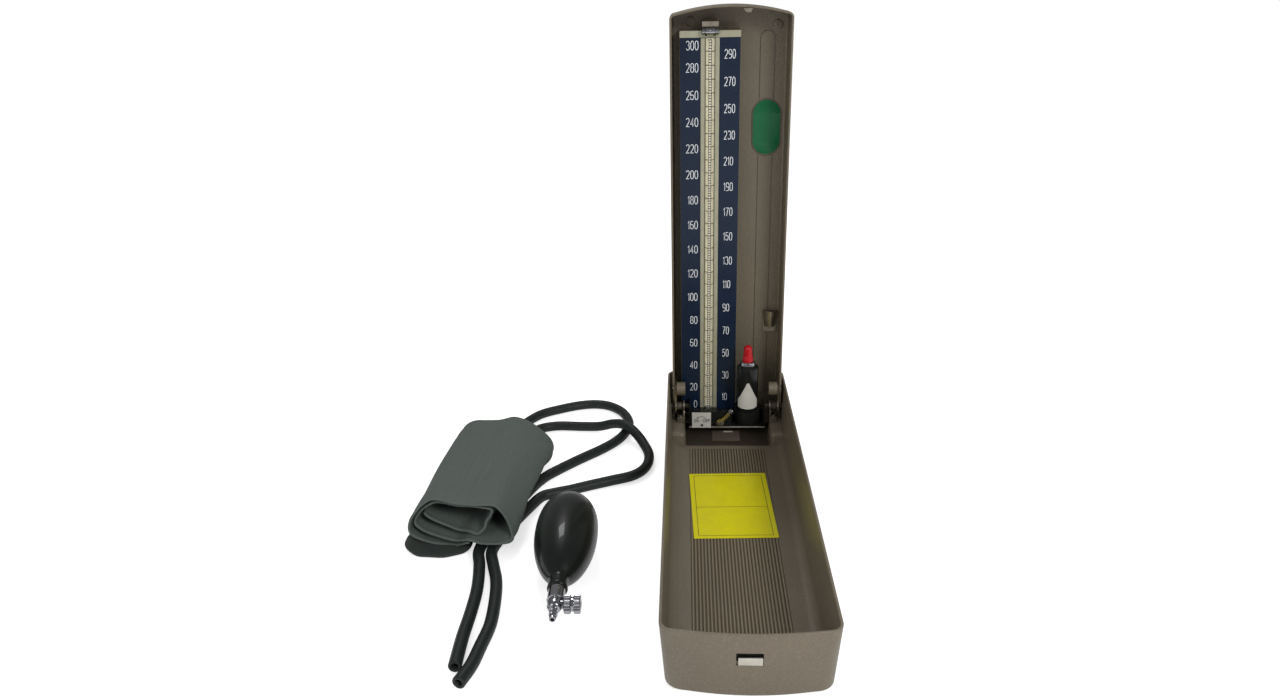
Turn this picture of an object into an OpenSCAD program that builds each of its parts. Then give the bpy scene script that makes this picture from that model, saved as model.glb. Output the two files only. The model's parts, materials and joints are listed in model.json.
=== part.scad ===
// Desk mercury sphygmomanometer: a long metal case whose lid stands upright
// with the manometer inside, and a rolled arm cuff, two hoses and a bulb.
// Frame: origin at the centre of the case's underside, the case's front to
// -Y, the standing lid to +Y, the surface at z = 0. Sizes in millimetres.

/* [Case] */
// Width of the case over its rim
case_w = 97.6; // [92:0.2:110]
// Length of the case between the crowns of its bowed ends
case_l = 355; // [345:1:380]
// Height of the case
case_h = 41.7; // [40:0.1:50]
// Wall thickness of the case
case_wall = 1.8; // [1.4:0.1:2.4]
// Floor thickness of the case
floor_t = 2.4; // [1.8:0.1:3.2]
// How far every wall leans in from the rim to the floor
case_draft = 1; // [0:0.1:1.4]
// How much further the long side walls lean in
side_draft = 2; // [0:0.1:2.4]
// How far the front end bows out
front_bow = 3.6; // [1:0.2:6]
// How far the rear end bows out
rear_bow = 3.6; // [1:0.2:5]
// Corner radius of the case in plan
case_corner = 8; // [5:0.5:9]
// Rounding under the case between its floor and its walls
under_round = 3; // [1:0.5:5]
// Rounding inside the case between its floor and its walls
floor_round = 6; // [3:0.5:7]
// Number of ribs pressed into the floor
rib_count = 27; // [15:1:31]
// Spacing of the ribs
rib_pitch = 2.2; // [1.8:0.05:2.5]
// Height of the ribs
rib_h = 0.6; // [0.3:0.1:0.9]

/* [Hinge] */
// Height of the lid's pivot above the surface
pivot_z = 23.6; // [22.6:0.1:24.4]
// Radius of the hinge pins
pin_r = 2; // [1.5:0.1:2.4]
// Radius of the collars on the hinge pins
collar_r = 3.2; // [2.8:0.1:3.8]
// Height of the posts in the case that carry the hinge brackets
post_h = 13; // [11:0.5:14]
// Width of the posts
post_w = 9.4; // [8:0.2:10]
// Thickness of the hinge bracket's upright ear
ear_t = 1.6; // [1.2:0.1:1.8]
// Thickness of the hinge plate riveted inside the lid
hinge_plate_t = 1.5; // [1:0.1:1.8]

/* [Lid] */
// Gap between the shut lid's sides and the case's walls
lid_side_gap = 2.5; // [2.2:0.1:3.5]
// Gap between the shut lid's crown and the case's front wall
lid_front_gap = 1.3; // [0.8:0.1:3]
// Distance of the standing lid's rim from the case's rear end
rim_in = 37.5; // [36:0.5:40]
// Depth of the lid from rim to back
lid_d = 26; // [24:0.5:27]
// Height of the standing lid's lower end above the surface
lid_foot = 8; // [7.4:0.1:9]
// Sheet thickness of the lid
lid_wall = 1.6; // [1.2:0.1:2]
// How far the lid's upper end bows up
lid_bow = 5.4; // [4:0.2:9]
// Width of the capsule embossed in the lid's panel
groove_w = 11.8; // [9:0.2:13]
// Width of the round-ended badge
badge_w = 20.6; // [18:0.2:24]
// Height of the badge
badge_h = 41; // [34:0.5:48]

/* [Scale] */
// Length of one millimetre of mercury on the scale
mm_per_unit = 0.9833; // [0.97:0.001:0.99]
// Top reading of the scale
scale_top = 300; // [260:10:300]
// Height of the zero mark above the surface
zero_z = 20.8; // [20:0.2:22]
// Width of the scale housing
housing_w = 44.7; // [40:0.1:46]
// Distance of the scale's centre to the left of the case's centre line
scale_off = 15; // [14:0.1:15.5]
// Width of each of the two navy plates
plate_w = 14.9; // [12:0.1:15.2]
// Thickness of the navy plates
plate_t = 1; // [0.6:0.1:1.4]
// Width of the aluminium strips beside the tube
strip_w = 3.3; // [2:0.1:3.4]
// Outer radius of the glass tube
tube_r = 3.2; // [2.6:0.1:3.4]
// Bore radius of the glass tube
tube_bore_r = 2.1; // [1.5:0.1:2.3]

/* [Reservoir] */
// Radius of the reservoir
reservoir_r = 8.75; // [7.5:0.05:9.5]
// Height of the reservoir's shoulder above the surface
reservoir_top = 63; // [58:0.5:72]
// Distance of the reservoir's axis from the cradle's right side
reservoir_in = 14.7; // [14.4:0.1:16]
// Radius of the red cap at its mouth
cap_r = 4.2; // [3.6:0.1:4.6]
// Height of the red cap
cap_h = 13.6; // [12:0.1:18]
// Radius of the nozzle under the red cap
nozzle_r = 2.4; // [2:0.1:2.6]

/* [Cuff and hoses] */
// Width of the rolled cuff
roll_w = 77; // [72:1:84]
// Height of the rolled cuff
roll_h = 42; // [38:0.5:46]
// Length of the rolled cuff
roll_l = 136; // [120:1:144]
// Thickness of one padded layer of the cuff
layer_t = 4.6; // [3.6:0.1:4.8]
// Outer diameter of the hoses
hose_d = 7.8; // [7:0.1:7.8]

/* [Bulb] */
// Greatest radius of the bulb
bulb_r = 20.5; // [18:0.1:21.5]
// Length of the bulb without its neck
bulb_l = 89.5; // [84:0.5:92]
// Radius of the bulb's neck
neck_r = 6.1; // [6:0.1:7.5]
// Radius of the release valve's body
valve_r = 5.2; // [4.8:0.1:5.4]
// Radius of the hose spigot on the release valve
spigot_r = 2.7; // [2.2:0.1:3.2]

/* [Hidden] */
$fn = 48;

// Clearances: cl between parts of one body, run_cl in a hinge's bore,
// move_cl between bodies, eps past a cut face.
cl = 0.1;
run_cl = 0.05;
move_cl = 0.4;
eps = 0.5;

paint = [0.42, 0.385, 0.325];
steel = "silver";
chrome = "gainsboro";
black = [0.09, 0.09, 0.09];
rubber = [0.13, 0.15, 0.14];
cloth = [0.36, 0.39, 0.37];

// The case
front_y = -case_l / 2;
rear_y = case_l / 2;
floor_top = floor_t;
rib_top = floor_top + rib_h;
rib_y0 = front_y + 18;
rib_w = 1;
foot_corner = 1.5;
label_w = 57.6;
label_l = 89.4;
label_x = -1.2;
label_turn = 1.8;
label_t = 0.15;
pad_t = 1.2;
nameplate_w = 22.4;
nameplate_l = 17.6;
nameplate_x = -1;
nameplate_t = 0.4;

// The hinge: the lid's rim stands just in front of the pivot.
rim_y = rear_y - rim_in;
pivot_y = rim_y + 0.6;
back_y = rim_y + lid_d;
panel_y = back_y - lid_wall;
outer_round = 4;
inner_round = 1.6;
lid_w = case_w - 2 * case_wall - 2 * lid_side_gap;
lid_top = pivot_y + pivot_z - (front_y + case_wall + case_draft + lid_front_gap);
lid_in = lid_w / 2 - lid_wall;
post_x = lid_in - 3.8;
post_y0 = rim_y - 29.2;
post_y1 = rim_y - 1.6;
bracket_y0 = post_y1 - 7.4;
bracket_y1 = post_y1;
bracket_top = post_h + 4.5;
ear_x = post_x - post_w / 2 + 0.2;
ear_r = 5;
plate_in = lid_in - cl - hinge_plate_t;
foot_w = plate_in - ear_x - move_cl;
chassis_w = 2 * (ear_x - 3.4);
chassis_t = 1.4;
pin_x0 = chassis_w / 2 - chassis_t + cl;
pin_x1 = case_w / 2 - (case_draft + side_draft) * (1 - pivot_z / case_h) - 0.2;
collar_x0 = ear_x + ear_t + cl;
collar_x1 = plate_in - cl;
lug_r = 6.2;
plate_top = pivot_z + 19.4;
rivet_r = 1.4;
rivet_h = 0.8;
bumper_r = 3.2;
bumper_t = 1.6;
badge_t = 0.6;
screw_r = 2.3;
screw_h = 1.6;
screw_y = bracket_y0 + 3.6;

// What lies on the case's floor, placed from the hinge posts
rib_y1 = post_y0 - 6.8;
label_y = rib_y1 - 86;
pad_w = 2 * (post_x - post_w / 2 - 1.4);
pad_y0 = post_y0 - 0.8;
pad_y1 = pad_y0 + 42;
nameplate_y = pad_y0 + 15;

// The front latch
slot_x0 = -8;
slot_x1 = 6.5;
slot_z0 = 21.7;
slot_z1 = 29.7;
wall_y = front_y + case_draft * (1 - slot_z0 / case_h);
button_x0 = slot_x0 + 1.2;
button_x1 = slot_x1 - 0.4;
button_z1 = slot_z0 + 4.8;
web_y = front_y + case_wall + case_draft;
web_t = 0.5;
arm_z = 17;
arm_t = 1.2;
latch_x1 = 15;
hook_x = 11.6;
hook_w = 7;
hook_h = 3;
hook_z = lid_top - lid_wall - lid_bow * pow((hook_x + hook_w / 2) / (lid_w / 2 - 4), 2) - cl;
closed_hook_y = pivot_y + pivot_z - (hook_z - hook_h);
catch_y = closed_hook_y + move_cl;
catch_t = 1.2;
spring_w = 8;
spring_t = 0.6;
spring_y = catch_y + 5.6;

// The scale and its tube
scale_x = -scale_off;
scale_y = rim_y + 6.2;
scale_room = lid_top - 21.5 - zero_z;
scale_read = min(scale_top, 10 * floor(scale_room / mm_per_unit / 10));
tube_y = scale_y - 0.6;
gap_w = housing_w - 2 * plate_w - 2 * strip_w - 1.2;
strip_t = plate_t + 0.6;
plate_z0 = zero_z - 5.6;
plate_z1 = zero_z + mm_per_unit * scale_read - 0.6;
bezel_h = 4.9;
housing_z1 = plate_z1 + bezel_h + 0.1;
housing_wall = 1.2;
housing_front = scale_y + plate_t + cl;
backing_y = housing_front + housing_wall + 0.4;
backing_t = 0.5;

// The manometer's foot
chassis_y0 = rim_y - 12;
chassis_z0 = lid_foot + lid_wall + cl;
chassis_h = 19;
chassis_y1 = scale_y - move_cl;
housing_z0 = chassis_z0 + chassis_t + 0.6;
block_z0 = chassis_z0 + chassis_t + cl;
block_z1 = 24;
block_y1 = chassis_y0 + 13.4;
block_lip = 3;
block_back = block_z1 - 3.5;
tap_z = 15.6;
tap_y = chassis_y0 - 2.6;
lever_t = 1.2;
lever_l = 12.6;
lever_tilt = 48;
knob_r = 2.6;
foot_r = 11.6;
reservoir_x = chassis_w / 2 - reservoir_in;
foot_x = reservoir_x + 0.7;
block_x1 = foot_x - foot_r - 2;
tap_x = block_x1 - 9.4;
sign_x0 = -chassis_w / 2 + 2.5;
sign_w = 15.5;
reservoir_y = chassis_y0 + 7.3;
foot_y = chassis_y0 + foot_r + 0.3;
reservoir_z0 = block_z1 + cl;
ring_r = 6.3;
ring_h = 3;
nozzle_h = 9;

// The cuff: its middle, its turn and its spiral
roll_x = -180.5;
roll_y = 29.5;
roll_turn = -3;
layer_gap = 1.2;
roll_turns = 2.55;
roll_start = 238;
roll_tuck = 5;
roll_lean = 0.28;
square_power = 0.72;
bladder_t = 0.7;

// The bulb: its widest place, its turn, its profile and the end of its neck
bulb_x = -112.1;
bulb_y = -49;
bulb_turn = 1.3;
bulb_back = 0.42 * bulb_l;
bulb_front = bulb_l - bulb_back;
bulb_power = 2.4;
bulb_end = bulb_front + 10.1;
barrel_l = 11;
seat_l = 7;
spigot_l = 9.5;
seat_r = 4.4;
thumb_r = 5.6;
thumb_l = 10;
thumb_pin_r = 1.6;
thumb_s = barrel_l + 2.5;

// Hose routes along the surface, chosen by hand
hose_z = hose_d / 2 + 0.1;
route_a = [[-177, 97.65, 12], [-177, 106, 12], [-177, 116, 10], [-175, 132, 6], [-169, 151, hose_z],
    [-159, 166, hose_z], [-144, 176, hose_z], [-127, 184, hose_z], [-112, 186, hose_z],
    [-99, 181, hose_z], [-88, 168, hose_z], [-82, 149, hose_z], [-84, 131, hose_z],
    [-90, 116, hose_z], [-101, 101, hose_z], [-117, 84, hose_z], [-131, 68, hose_z],
    [-141, 55, hose_z], [-148, 40, hose_z], [-156, 16, hose_z], [-164, -10, hose_z],
    [-170, -30, hose_z], [-172, -46, hose_z], [-168.5, -62, hose_z], [-165, -86, hose_z],
    [-164, -109, hose_z], [-164, -135, hose_z], [-163, -159, hose_z]];
route_b = [[-165, 97.05, 11], [-165, 105, 11], [-165, 113, 8], [-162, 128, 5], [-154, 139, hose_z],
    [-141, 143, hose_z], [-122, 142, hose_z], [-106, 139, 5.6], [-95, 135, 9.8],
    [-85, 128, 12.5], [-76, 120, 10], [-68, 108, 5.2], [-63, 90, hose_z],
    [-65, 71, hose_z], [-74, 58, hose_z], [-90, 50, hose_z], [-105, 43, hose_z],
    [-119, 36, hose_z], [-131, 31, hose_z], [-139.5, 26, hose_z], [-146, 12, hose_z],
    [-155, -12, hose_z], [-161.5, -34, hose_z], [-163.2, -47, hose_z], [-159.5, -61, hose_z],
    [-154.5, -78, hose_z], [-151.5, -98, hose_z], [-150, -122, hose_z],
    [-152, -142, hose_z], [-154, -158, hose_z], [-158, -172, hose_z]];
tunnel_h = hose_d + 1.2;
tunnel = [[-128, 82], [-147, 62], [-153, 44], [-162, 16], [-170, -10], [-177, -30],
    [-179, -60], [-156, -60], [-156, -36], [-149, -12], [-140, 10], [-133, 22],
    [-110, 26], [-110, 82]];
hose_sides = 10;

// --- shared shapes -------------------------------------------------------

// Quarter circle of points about c from angle a0, n steps
function corner(c, r, a0, n = 4) =
    [for (i = [0 : n]) c + r * [cos(a0 + 90 * i / n), sin(a0 + 90 * i / n)]];

// Plan of the case, drawn in by g all round and by e at the sides, its corners rounder by k times g
function case_plan(g, e, k) =
    let (w = case_w / 2 - g - e, c = max(case_corner + k * g, 1), f = front_y + g, b = rear_y - g,
         fy = f + front_bow, by = b - rear_bow)
    concat(corner([-w + c, fy + c], c, 180),
        [for (i = [-4 : 4]) [i / 5 * (w - c), f + front_bow * pow(i / 5, 2)]],
        corner([w - c, fy + c], c, 270), corner([w - c, by - c], c, 0),
        [for (i = [-4 : 4]) [-i / 5 * (w - c), b - rear_bow * pow(i / 5, 2)]],
        corner([-w + c, by - c], c, 90));

// How far a case wall with a foot of radius r lies in from its rim at height z
function case_in(z, r) = case_draft * (1 - z / case_h)
    + (z < r ? r - sqrt(pow(r, 2) - pow(r - z, 2)) : 0);

// How much further the long side walls lie in at height z
function side_in(z) = side_draft * (1 - z / case_h);

// Block of the case's shape from z0 to z1, g thinner all round, its foot rounded by r
module case_block(g, z0, z1, r, k) {
    rim = min(z1 - z0, case_h);
    hull() {
        for (s = [0, 0.04, 0.15, 0.36, 0.65, 1])
            translate([0, 0, z0 + s * r])
                linear_extrude(0.01) polygon(case_plan(g + case_in(s * r, r), side_in(s * r), k));
        translate([0, 0, z1 - 0.01])
            linear_extrude(0.01) polygon(case_plan(g + case_in(rim, r), side_in(rim), k));
    }
}

// A box from corner a to corner b
module span(a, b) translate(a) cube(b - a);

// The same shape on both sides of the centre line
module both_sides() {
    children();
    mirror([1, 0, 0]) children();
}

// Cylinder along X from x0 to x1 through the point y, z
module rod_x(r, x0, x1, y, z)
    translate([x0, y, z]) rotate([0, 90, 0]) cylinder(r = r, h = x1 - x0);

// Cylinder along Y from y0 to y1 through the point x, z
module rod_y(r, y0, y1, x, z)
    translate([x, y1, z]) rotate([90, 0, 0]) cylinder(r = r, h = y1 - y0);

// Round-ended upright plate of width w and height h, y0 to y1, about x, z
module capsule(w, h, y0, y1, x, z) {
    span([x - w / 2, y0, z - h / 2 + w / 2], [x + w / 2, y1, z + h / 2 - w / 2]);
    rod_y(w / 2, y0, y1, x, z + h / 2 - w / 2);
    rod_y(w / 2, y0, y1, x, z - h / 2 + w / 2);
}

// Front view of the lid, drawn in by g: bowed top, rounded lower corners
function lid_face(g) =
    let (w = lid_w / 2 - g, top = lid_top - g, c = max(4 - g, 0.5), low = lid_foot + g,
         e = max(6 - g, 1))
    concat(corner([w - c, top - lid_bow - c], c, 0),
        [for (i = [-5 : 5]) [-i / 6 * (w - c), top - lid_bow * pow(i / 6, 2)]],
        corner([-w + c, top - lid_bow - c], c, 90),
        corner([-w + e, low + e], e, 180), corner([w - e, low + e], e, 270));

// The lid's solid from y0 back to y1, drawn in by g, its back edges rounded by r
module lid_block(g, y0, y1, r) hull() {
    translate([0, y1 - r, 0]) rotate([90, 0, 0])
        linear_extrude(y1 - r - y0) polygon(lid_face(g));
    for (a = [15 : 15 : 90])
        translate([0, y1 - r + r * sin(a) + 0.01, 0]) rotate([90, 0, 0])
            linear_extrude(0.01) polygon(lid_face(g + r * (1 - cos(a))));
}

// --- hoses ---------------------------------------------------------------

function unit(v) = v / norm(v);
function tangent(p, i) = unit(p[min(i + 1, len(p) - 1)] - p[max(i - 1, 0)]);
function side_of(t) = unit(cross(t, [0, 0, 1]));

// Tube of radius r swept along the points p
module hose(p, r) {
    n = hose_sides;
    rings = [for (i = [0 : len(p) - 1])
        let (t = tangent(p, i), a = side_of(t), b = cross(a, t))
        for (k = [0 : n - 1]) p[i] + r * (a * cos(360 * k / n) + b * sin(360 * k / n))];
    quads = [for (i = [0 : len(p) - 2]) for (k = [0 : n - 1])
        let (m = (k + 1) % n)
        for (f = [[i * n + k, i * n + m, i * n + n + m], [i * n + k, i * n + n + m, i * n + n + k]])
            f];
    last = (len(p) - 1) * n;
    ends = concat([for (k = [1 : n - 2]) [0, k + 1, k]],
        [for (k = [1 : n - 2]) [last, last + k, last + k + 1]]);
    polyhedron(points = rings, faces = concat(quads, ends));
}

// --- cuff ----------------------------------------------------------------

function power(v) = sign(v) * pow(abs(v), square_power);

// Turns of the roll counted so that each layer tucks in at its own end
function tucked(q) = floor(q) + pow(q - floor(q), roll_tuck);

// Point of the roll's spiral at turn q, drawn in by g, leaning down to +X
function roll_raw(q, g) =
    let (s = g + (layer_t + layer_gap) * tucked(q), a = roll_w / 2 - s, b = roll_h / 2 - s,
         x = a * power(cos(roll_start - 360 * q)),
         z = roll_h / 2 + b * power(sin(roll_start - 360 * q)))
    [x, z * (1 - roll_lean * (x + roll_w / 2) / roll_w)];
roll_dip = min([for (i = [0 : 60]) roll_raw(i / 60, 0)[1]]) + 0.5;
function roll_point(q, g) = let (p = roll_raw(q, g)) [p[0], max(p[1] - roll_dip, 0)];

// Band of the spiral between turns q0 and q1, g0 to g1 deep
module roll_band(q0, q1, g0, g1, len_y) {
    n = round(44 * (q1 - q0));
    qs = [for (i = [0 : n]) q0 + (q1 - q0) * i / n];
    translate([roll_x, roll_y, 0]) rotate([0, 0, roll_turn])
        translate([0, len_y / 2, 0]) rotate([90, 0, 0]) linear_extrude(len_y)
            polygon(concat([for (q = qs) roll_point(q, g0)],
                [for (i = [n : -1 : 0]) roll_point(qs[i], g1)]));
}

// Where the hoses pass beneath the roll
module hose_tunnel() translate([0, 0, -eps]) linear_extrude(tunnel_h + eps) polygon(tunnel);

// Local frame of the bulb: axis along -Y from its middle
module on_bulb() translate([bulb_x, bulb_y, bulb_r]) rotate([0, 0, bulb_turn])
    rotate([90, 0, 0]) children();

// Radius of the bulb at s along its axis: a blunt far end and a long front towards the neck
function bulb_profile(s) = bulb_r * (s < 0
    ? pow(max(1 - pow(-s / bulb_back, bulb_power), 0), 1 / bulb_power)
    : sqrt(max(1 - pow(s / bulb_front, 2), 0)));

// --- the case and what is fixed in it --------------------------------------

module base_case() color(paint) {
    difference() {
        case_block(0, 0, case_h, under_round, foot_corner);
        case_block(case_wall, floor_t, case_h + 1, floor_round, -1);
        span([slot_x0, front_y - 5, slot_z0], [slot_x1, front_y + 8, slot_z1]);
        both_sides() rod_x(pin_r + 0.02, case_w / 2 - 6, case_w / 2 + 5, pivot_y, pivot_z);
    }
    for (i = [0 : rib_count - 1])
        span([label_x + (i - (rib_count - 1) / 2) * rib_pitch - rib_w / 2, rib_y0, floor_top - eps],
            [label_x + (i - (rib_count - 1) / 2) * rib_pitch + rib_w / 2, rib_y1, rib_top]);
    both_sides() {
        translate([post_x, post_y0 + post_w / 2, floor_top - eps])
            cylinder(d = post_w, h = post_h - floor_top + eps);
        span([post_x - post_w / 2, post_y0 + post_w / 2, floor_top - eps],
            [post_x + post_w / 2, post_y1, post_h]);
    }
}

module floor_label() color("gold")
    translate([label_x, label_y, rib_top]) rotate([0, 0, label_turn])
        translate([-label_w / 2, -label_l / 2, 0]) cube([label_w, label_l, label_t]);

module floor_pad() color(black)
    span([-pad_w / 2, pad_y0, floor_top], [pad_w / 2, pad_y1, floor_top + pad_t]);

module nameplate() color("saddlebrown")
    translate([nameplate_x - nameplate_w / 2, nameplate_y - nameplate_l / 2, floor_top + pad_t])
        cube([nameplate_w, nameplate_l, nameplate_t]);

// Bracket on the right post: a foot block, and an ear round the pin
module hinge_bracket() color(steel) difference() {
    union() {
        span([ear_x, bracket_y0, post_h], [ear_x + foot_w, bracket_y1, bracket_top]);
        span([ear_x, bracket_y0, post_h], [ear_x + ear_t, pivot_y + ear_r - 1, pivot_z]);
        rod_x(ear_r, ear_x, ear_x + ear_t, pivot_y, pivot_z);
    }
    rod_x(pin_r + 0.02, ear_x - 1, ear_x + foot_w + 1, pivot_y, pivot_z);
    rod_x(collar_r + 0.02, ear_x + ear_t, ear_x + foot_w + 1, pivot_y, pivot_z);
}

module hinge_bracket_left() mirror([1, 0, 0]) hinge_bracket();
module hinge_bracket_right() hinge_bracket();

module hinge_pins() color(chrome) both_sides() {
    rod_x(pin_r, pin_x0, pin_x1, pivot_y, pivot_z);
    rod_x(collar_r, collar_x0, collar_x1, pivot_y, pivot_z);
}

module bracket_screws() color(chrome) both_sides() difference() {
    translate([ear_x + ear_t + cl + screw_r, screw_y, bracket_top])
        cylinder(r = screw_r, h = screw_h);
    span([ear_x, screw_y - 0.4, bracket_top + screw_h - 0.7],
        [ear_x + foot_w + 2, screw_y + 0.4, bracket_top + screw_h + 1]);
}

// Button in the slot, its web behind the wall, its arm beneath the shut
// lid's rim and the post that catches the lid's hook
module latch_button() color(chrome) {
    span([button_x0, wall_y, slot_z0 + 0.2], [button_x1, wall_y + 1.2, button_z1]);
    span([button_x0, wall_y + 0.6, slot_z0 + 0.2], [button_x1, web_y + web_t, slot_z0 + 1.2]);
    span([button_x0, web_y, arm_z], [button_x1, web_y + web_t, slot_z0 + 1.2]);
    span([button_x0, web_y, arm_z], [button_x1, catch_y + catch_t, arm_z + arm_t]);
    span([button_x1 - 1, web_y + web_t + 1, arm_z], [latch_x1, catch_y + catch_t, arm_z + arm_t]);
    span([hook_x - 3, catch_y, arm_z], [latch_x1, catch_y + catch_t, pivot_z + 4]);
}

// Leaf spring standing behind the latch's arm
module latch_spring() color(steel) {
    span([button_x0, spring_y, rib_top], [button_x0 + spring_w, spring_y + 11, rib_top + spring_t]);
    span([button_x0, spring_y, rib_top], [button_x0 + spring_w, spring_y + spring_t, arm_z + spring_t]);
    span([button_x0, catch_y + catch_t + 1.2, arm_z], [button_x0 + spring_w, spring_y + spring_t, arm_z + spring_t]);
}

module latch_rivet() color(steel)
    translate([button_x0 + spring_w / 2, spring_y + 6, rib_top + spring_t]) cylinder(r = 2, h = 1);

// --- the lid and what is fixed in it ---------------------------------------

module lid_shell() color(paint) {
    groove_z0 = lid_foot + 16;
    groove_z1 = lid_top - 18.6;
    groove_x = lid_in - 14.7;
    difference() {
        lid_block(0, rim_y, back_y, outer_round);
        lid_block(lid_wall, rim_y - 1, panel_y, inner_round);
        difference() {
            capsule(groove_w, groove_z1 - groove_z0, panel_y - 1, panel_y + 0.4,
                groove_x, (groove_z0 + groove_z1) / 2);
            capsule(groove_w - 1.6, groove_z1 - groove_z0 - 1.6, panel_y - 2, panel_y + 1,
                groove_x, (groove_z0 + groove_z1) / 2);
        }
        both_sides() rod_x(pin_r + move_cl, lid_in - 1, lid_w / 2 + 1, pivot_y, pivot_z);
    }
}

module lid_badge() color("seagreen")
    capsule(badge_w, badge_h, panel_y - badge_t, panel_y, lid_in - badge_w / 2 - 3.9, lid_top - 89.8);

module lid_bumpers() color(rubber) {
    rod_y(bumper_r, panel_y - bumper_t, panel_y, 13.8 - lid_in, lid_top - 11.6);
    rod_y(bumper_r, panel_y - bumper_t, panel_y, lid_in - 7.5, lid_top - 15);
}

// Small pointed hook inside the crown of the lid
module latch_hook() color(chrome)
    translate([hook_x, rim_y + 3.4, 0]) rotate([90, 0, 0]) linear_extrude(3)
        polygon([[-hook_w / 2, hook_z], [hook_w / 2, hook_z],
            [hook_w / 2 - 1.4, hook_z - hook_h], [-hook_w / 2 + 2.6, hook_z - hook_h]]);

// Open-topped tapering pocket on the panel that holds the release valve
module pocket_clip() color(steel) {
    clip_x = lid_in - 7.3;
    span([clip_x - 5.6, panel_y - 1, 81], [clip_x + 5.6, panel_y, 100]);
    difference() {
        translate([clip_x, panel_y - 1, 86]) cylinder(r1 = 4.2, r2 = 5.6, h = 14);
        translate([clip_x, panel_y - 1, 85]) cylinder(r1 = 3, r2 = 4.8, h = 16);
        span([clip_x - 9, panel_y - 1, 80], [clip_x + 9, panel_y + 9, 110]);
    }
}

// Plate riveted inside the right wall, with the lug that turns on the pin
module hinge_plate() color(steel) difference() {
    union() {
        rod_x(lug_r, plate_in, plate_in + hinge_plate_t, pivot_y, pivot_z);
        span([plate_in, rim_y - 2, pivot_z], [plate_in + hinge_plate_t, rim_y + 12, plate_top]);
        span([plate_in, rim_y - 2, pivot_z + 3], [lid_w / 2, rim_y - cl, plate_top - 2]);
    }
    rod_x(pin_r + run_cl, plate_in - 1, plate_in + hinge_plate_t + 1, pivot_y, pivot_z);
}

module hinge_plate_left() mirror([1, 0, 0]) hinge_plate();
module hinge_plate_right() hinge_plate();

module plate_rivets() color(steel) both_sides() for (z = [plate_top - 10, plate_top - 4])
    rod_x(rivet_r, plate_in - rivet_h, plate_in, rim_y + 8, z);

// Curled strip beside the hinge plate that stays the standing lid
module stay_curl() color(steel) {
    curl_x0 = plate_in - 7.2;
    curl_x1 = plate_in - cl;
    curl_z = 39.2;
    curl_r = 5.6;
    span([curl_x0, rim_y + 0.6, curl_z - curl_r], [curl_x1, rim_y + 1.8, curl_z + curl_r]);
    difference() {
        rod_x(curl_r, curl_x0, curl_x1, rim_y + 0.7, curl_z);
        rod_x(curl_r - 1.4, curl_x0 - 1, curl_x1 + 1, rim_y + 0.7, curl_z);
        span([curl_x0 - 1, rim_y + 0.7, curl_z - 9], [curl_x1 + 1, rim_y + 11, curl_z + 9]);
    }
}

module stay_curl_left() mirror([1, 0, 0]) stay_curl();
module stay_curl_right() stay_curl();

// --- the manometer ---------------------------------------------------------

// Sheet cradle across the lid's lower end that carries the manometer
module chassis() color(steel) difference() {
    union() {
        span([-chassis_w / 2, chassis_y0, chassis_z0],
            [chassis_w / 2, panel_y - inner_round - cl, chassis_z0 + chassis_t]);
        both_sides() span([chassis_w / 2 - chassis_t, chassis_y0, chassis_z0],
            [chassis_w / 2, chassis_y1, chassis_z0 + chassis_h]);
    }
    both_sides() rod_x(pin_r + run_cl, chassis_w / 2 - chassis_t - 1, chassis_w / 2 + 1,
        pivot_y, pivot_z);
}

// Folded channel that holds the plates off the lid's panel
module scale_housing() color(paint) {
    x0 = scale_x - housing_w / 2;
    x1 = scale_x + housing_w / 2;
    difference() {
        span([x0, housing_front, housing_z0], [x1, panel_y, housing_z1]);
        span([x0 + housing_wall, housing_front + housing_wall, housing_z0 + housing_wall],
            [x1 - housing_wall, panel_y + 1, housing_z1 - housing_wall]);
        span([scale_x - gap_w / 2, housing_front - 1, housing_z0 - 1],
            [scale_x + gap_w / 2, housing_front + housing_wall + 0.1, housing_z1 + 1]);
    }
}

module scale_plate(x0) color("midnightblue")
    span([x0, scale_y, plate_z0], [x0 + plate_w, scale_y + plate_t, plate_z1]);

module scale_plate_left() scale_plate(scale_x - housing_w / 2 + 0.3);
module scale_plate_right() scale_plate(scale_x + housing_w / 2 - 0.3 - plate_w);

module scale_backing() color("ivory")
    span([scale_x - gap_w / 2, backing_y, plate_z0], [scale_x + gap_w / 2, backing_y + backing_t, plate_z1]);

module side_strips() color("lightgray")
    for (s = [-1, 1]) translate([scale_x + s * (gap_w / 2 + strip_w / 2 + 0.1), 0, 0])
        span([-strip_w / 2, scale_y + plate_t - strip_t, plate_z0],
            [strip_w / 2, scale_y + plate_t, plate_z1]);

module glass_tube() color("lightcyan", 0.4) difference() {
    translate([scale_x, tube_y, plate_z0]) cylinder(r = tube_r, h = plate_z1 - plate_z0 - 0.2);
    translate([scale_x, tube_y, plate_z0 - 1]) cylinder(r = tube_bore_r, h = plate_z1 - plate_z0 + 2);
}

module mercury_column() color("darkgray")
    translate([scale_x, tube_y, plate_z0]) cylinder(r = tube_bore_r - 0.02, h = zero_z - plate_z0);

module top_bezel() color(chrome)
    span([scale_x - housing_w / 2, scale_y - 0.8, plate_z1 + cl],
        [scale_x + housing_w / 2, scale_y + plate_t, plate_z1 + bezel_h]);

module tube_cap() color(chrome)
    span([scale_x - 6.2, scale_y - 4.6, plate_z1 + cl], [scale_x + 6.2, scale_y - 0.9, plate_z1 + 7.6]);

module tube_vent_plug() color(black)
    for (s = [-1, 1]) rod_y(1, scale_y - 5.4, scale_y - 4.6, scale_x + s * 3, plate_z1 + 2.4);

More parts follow.
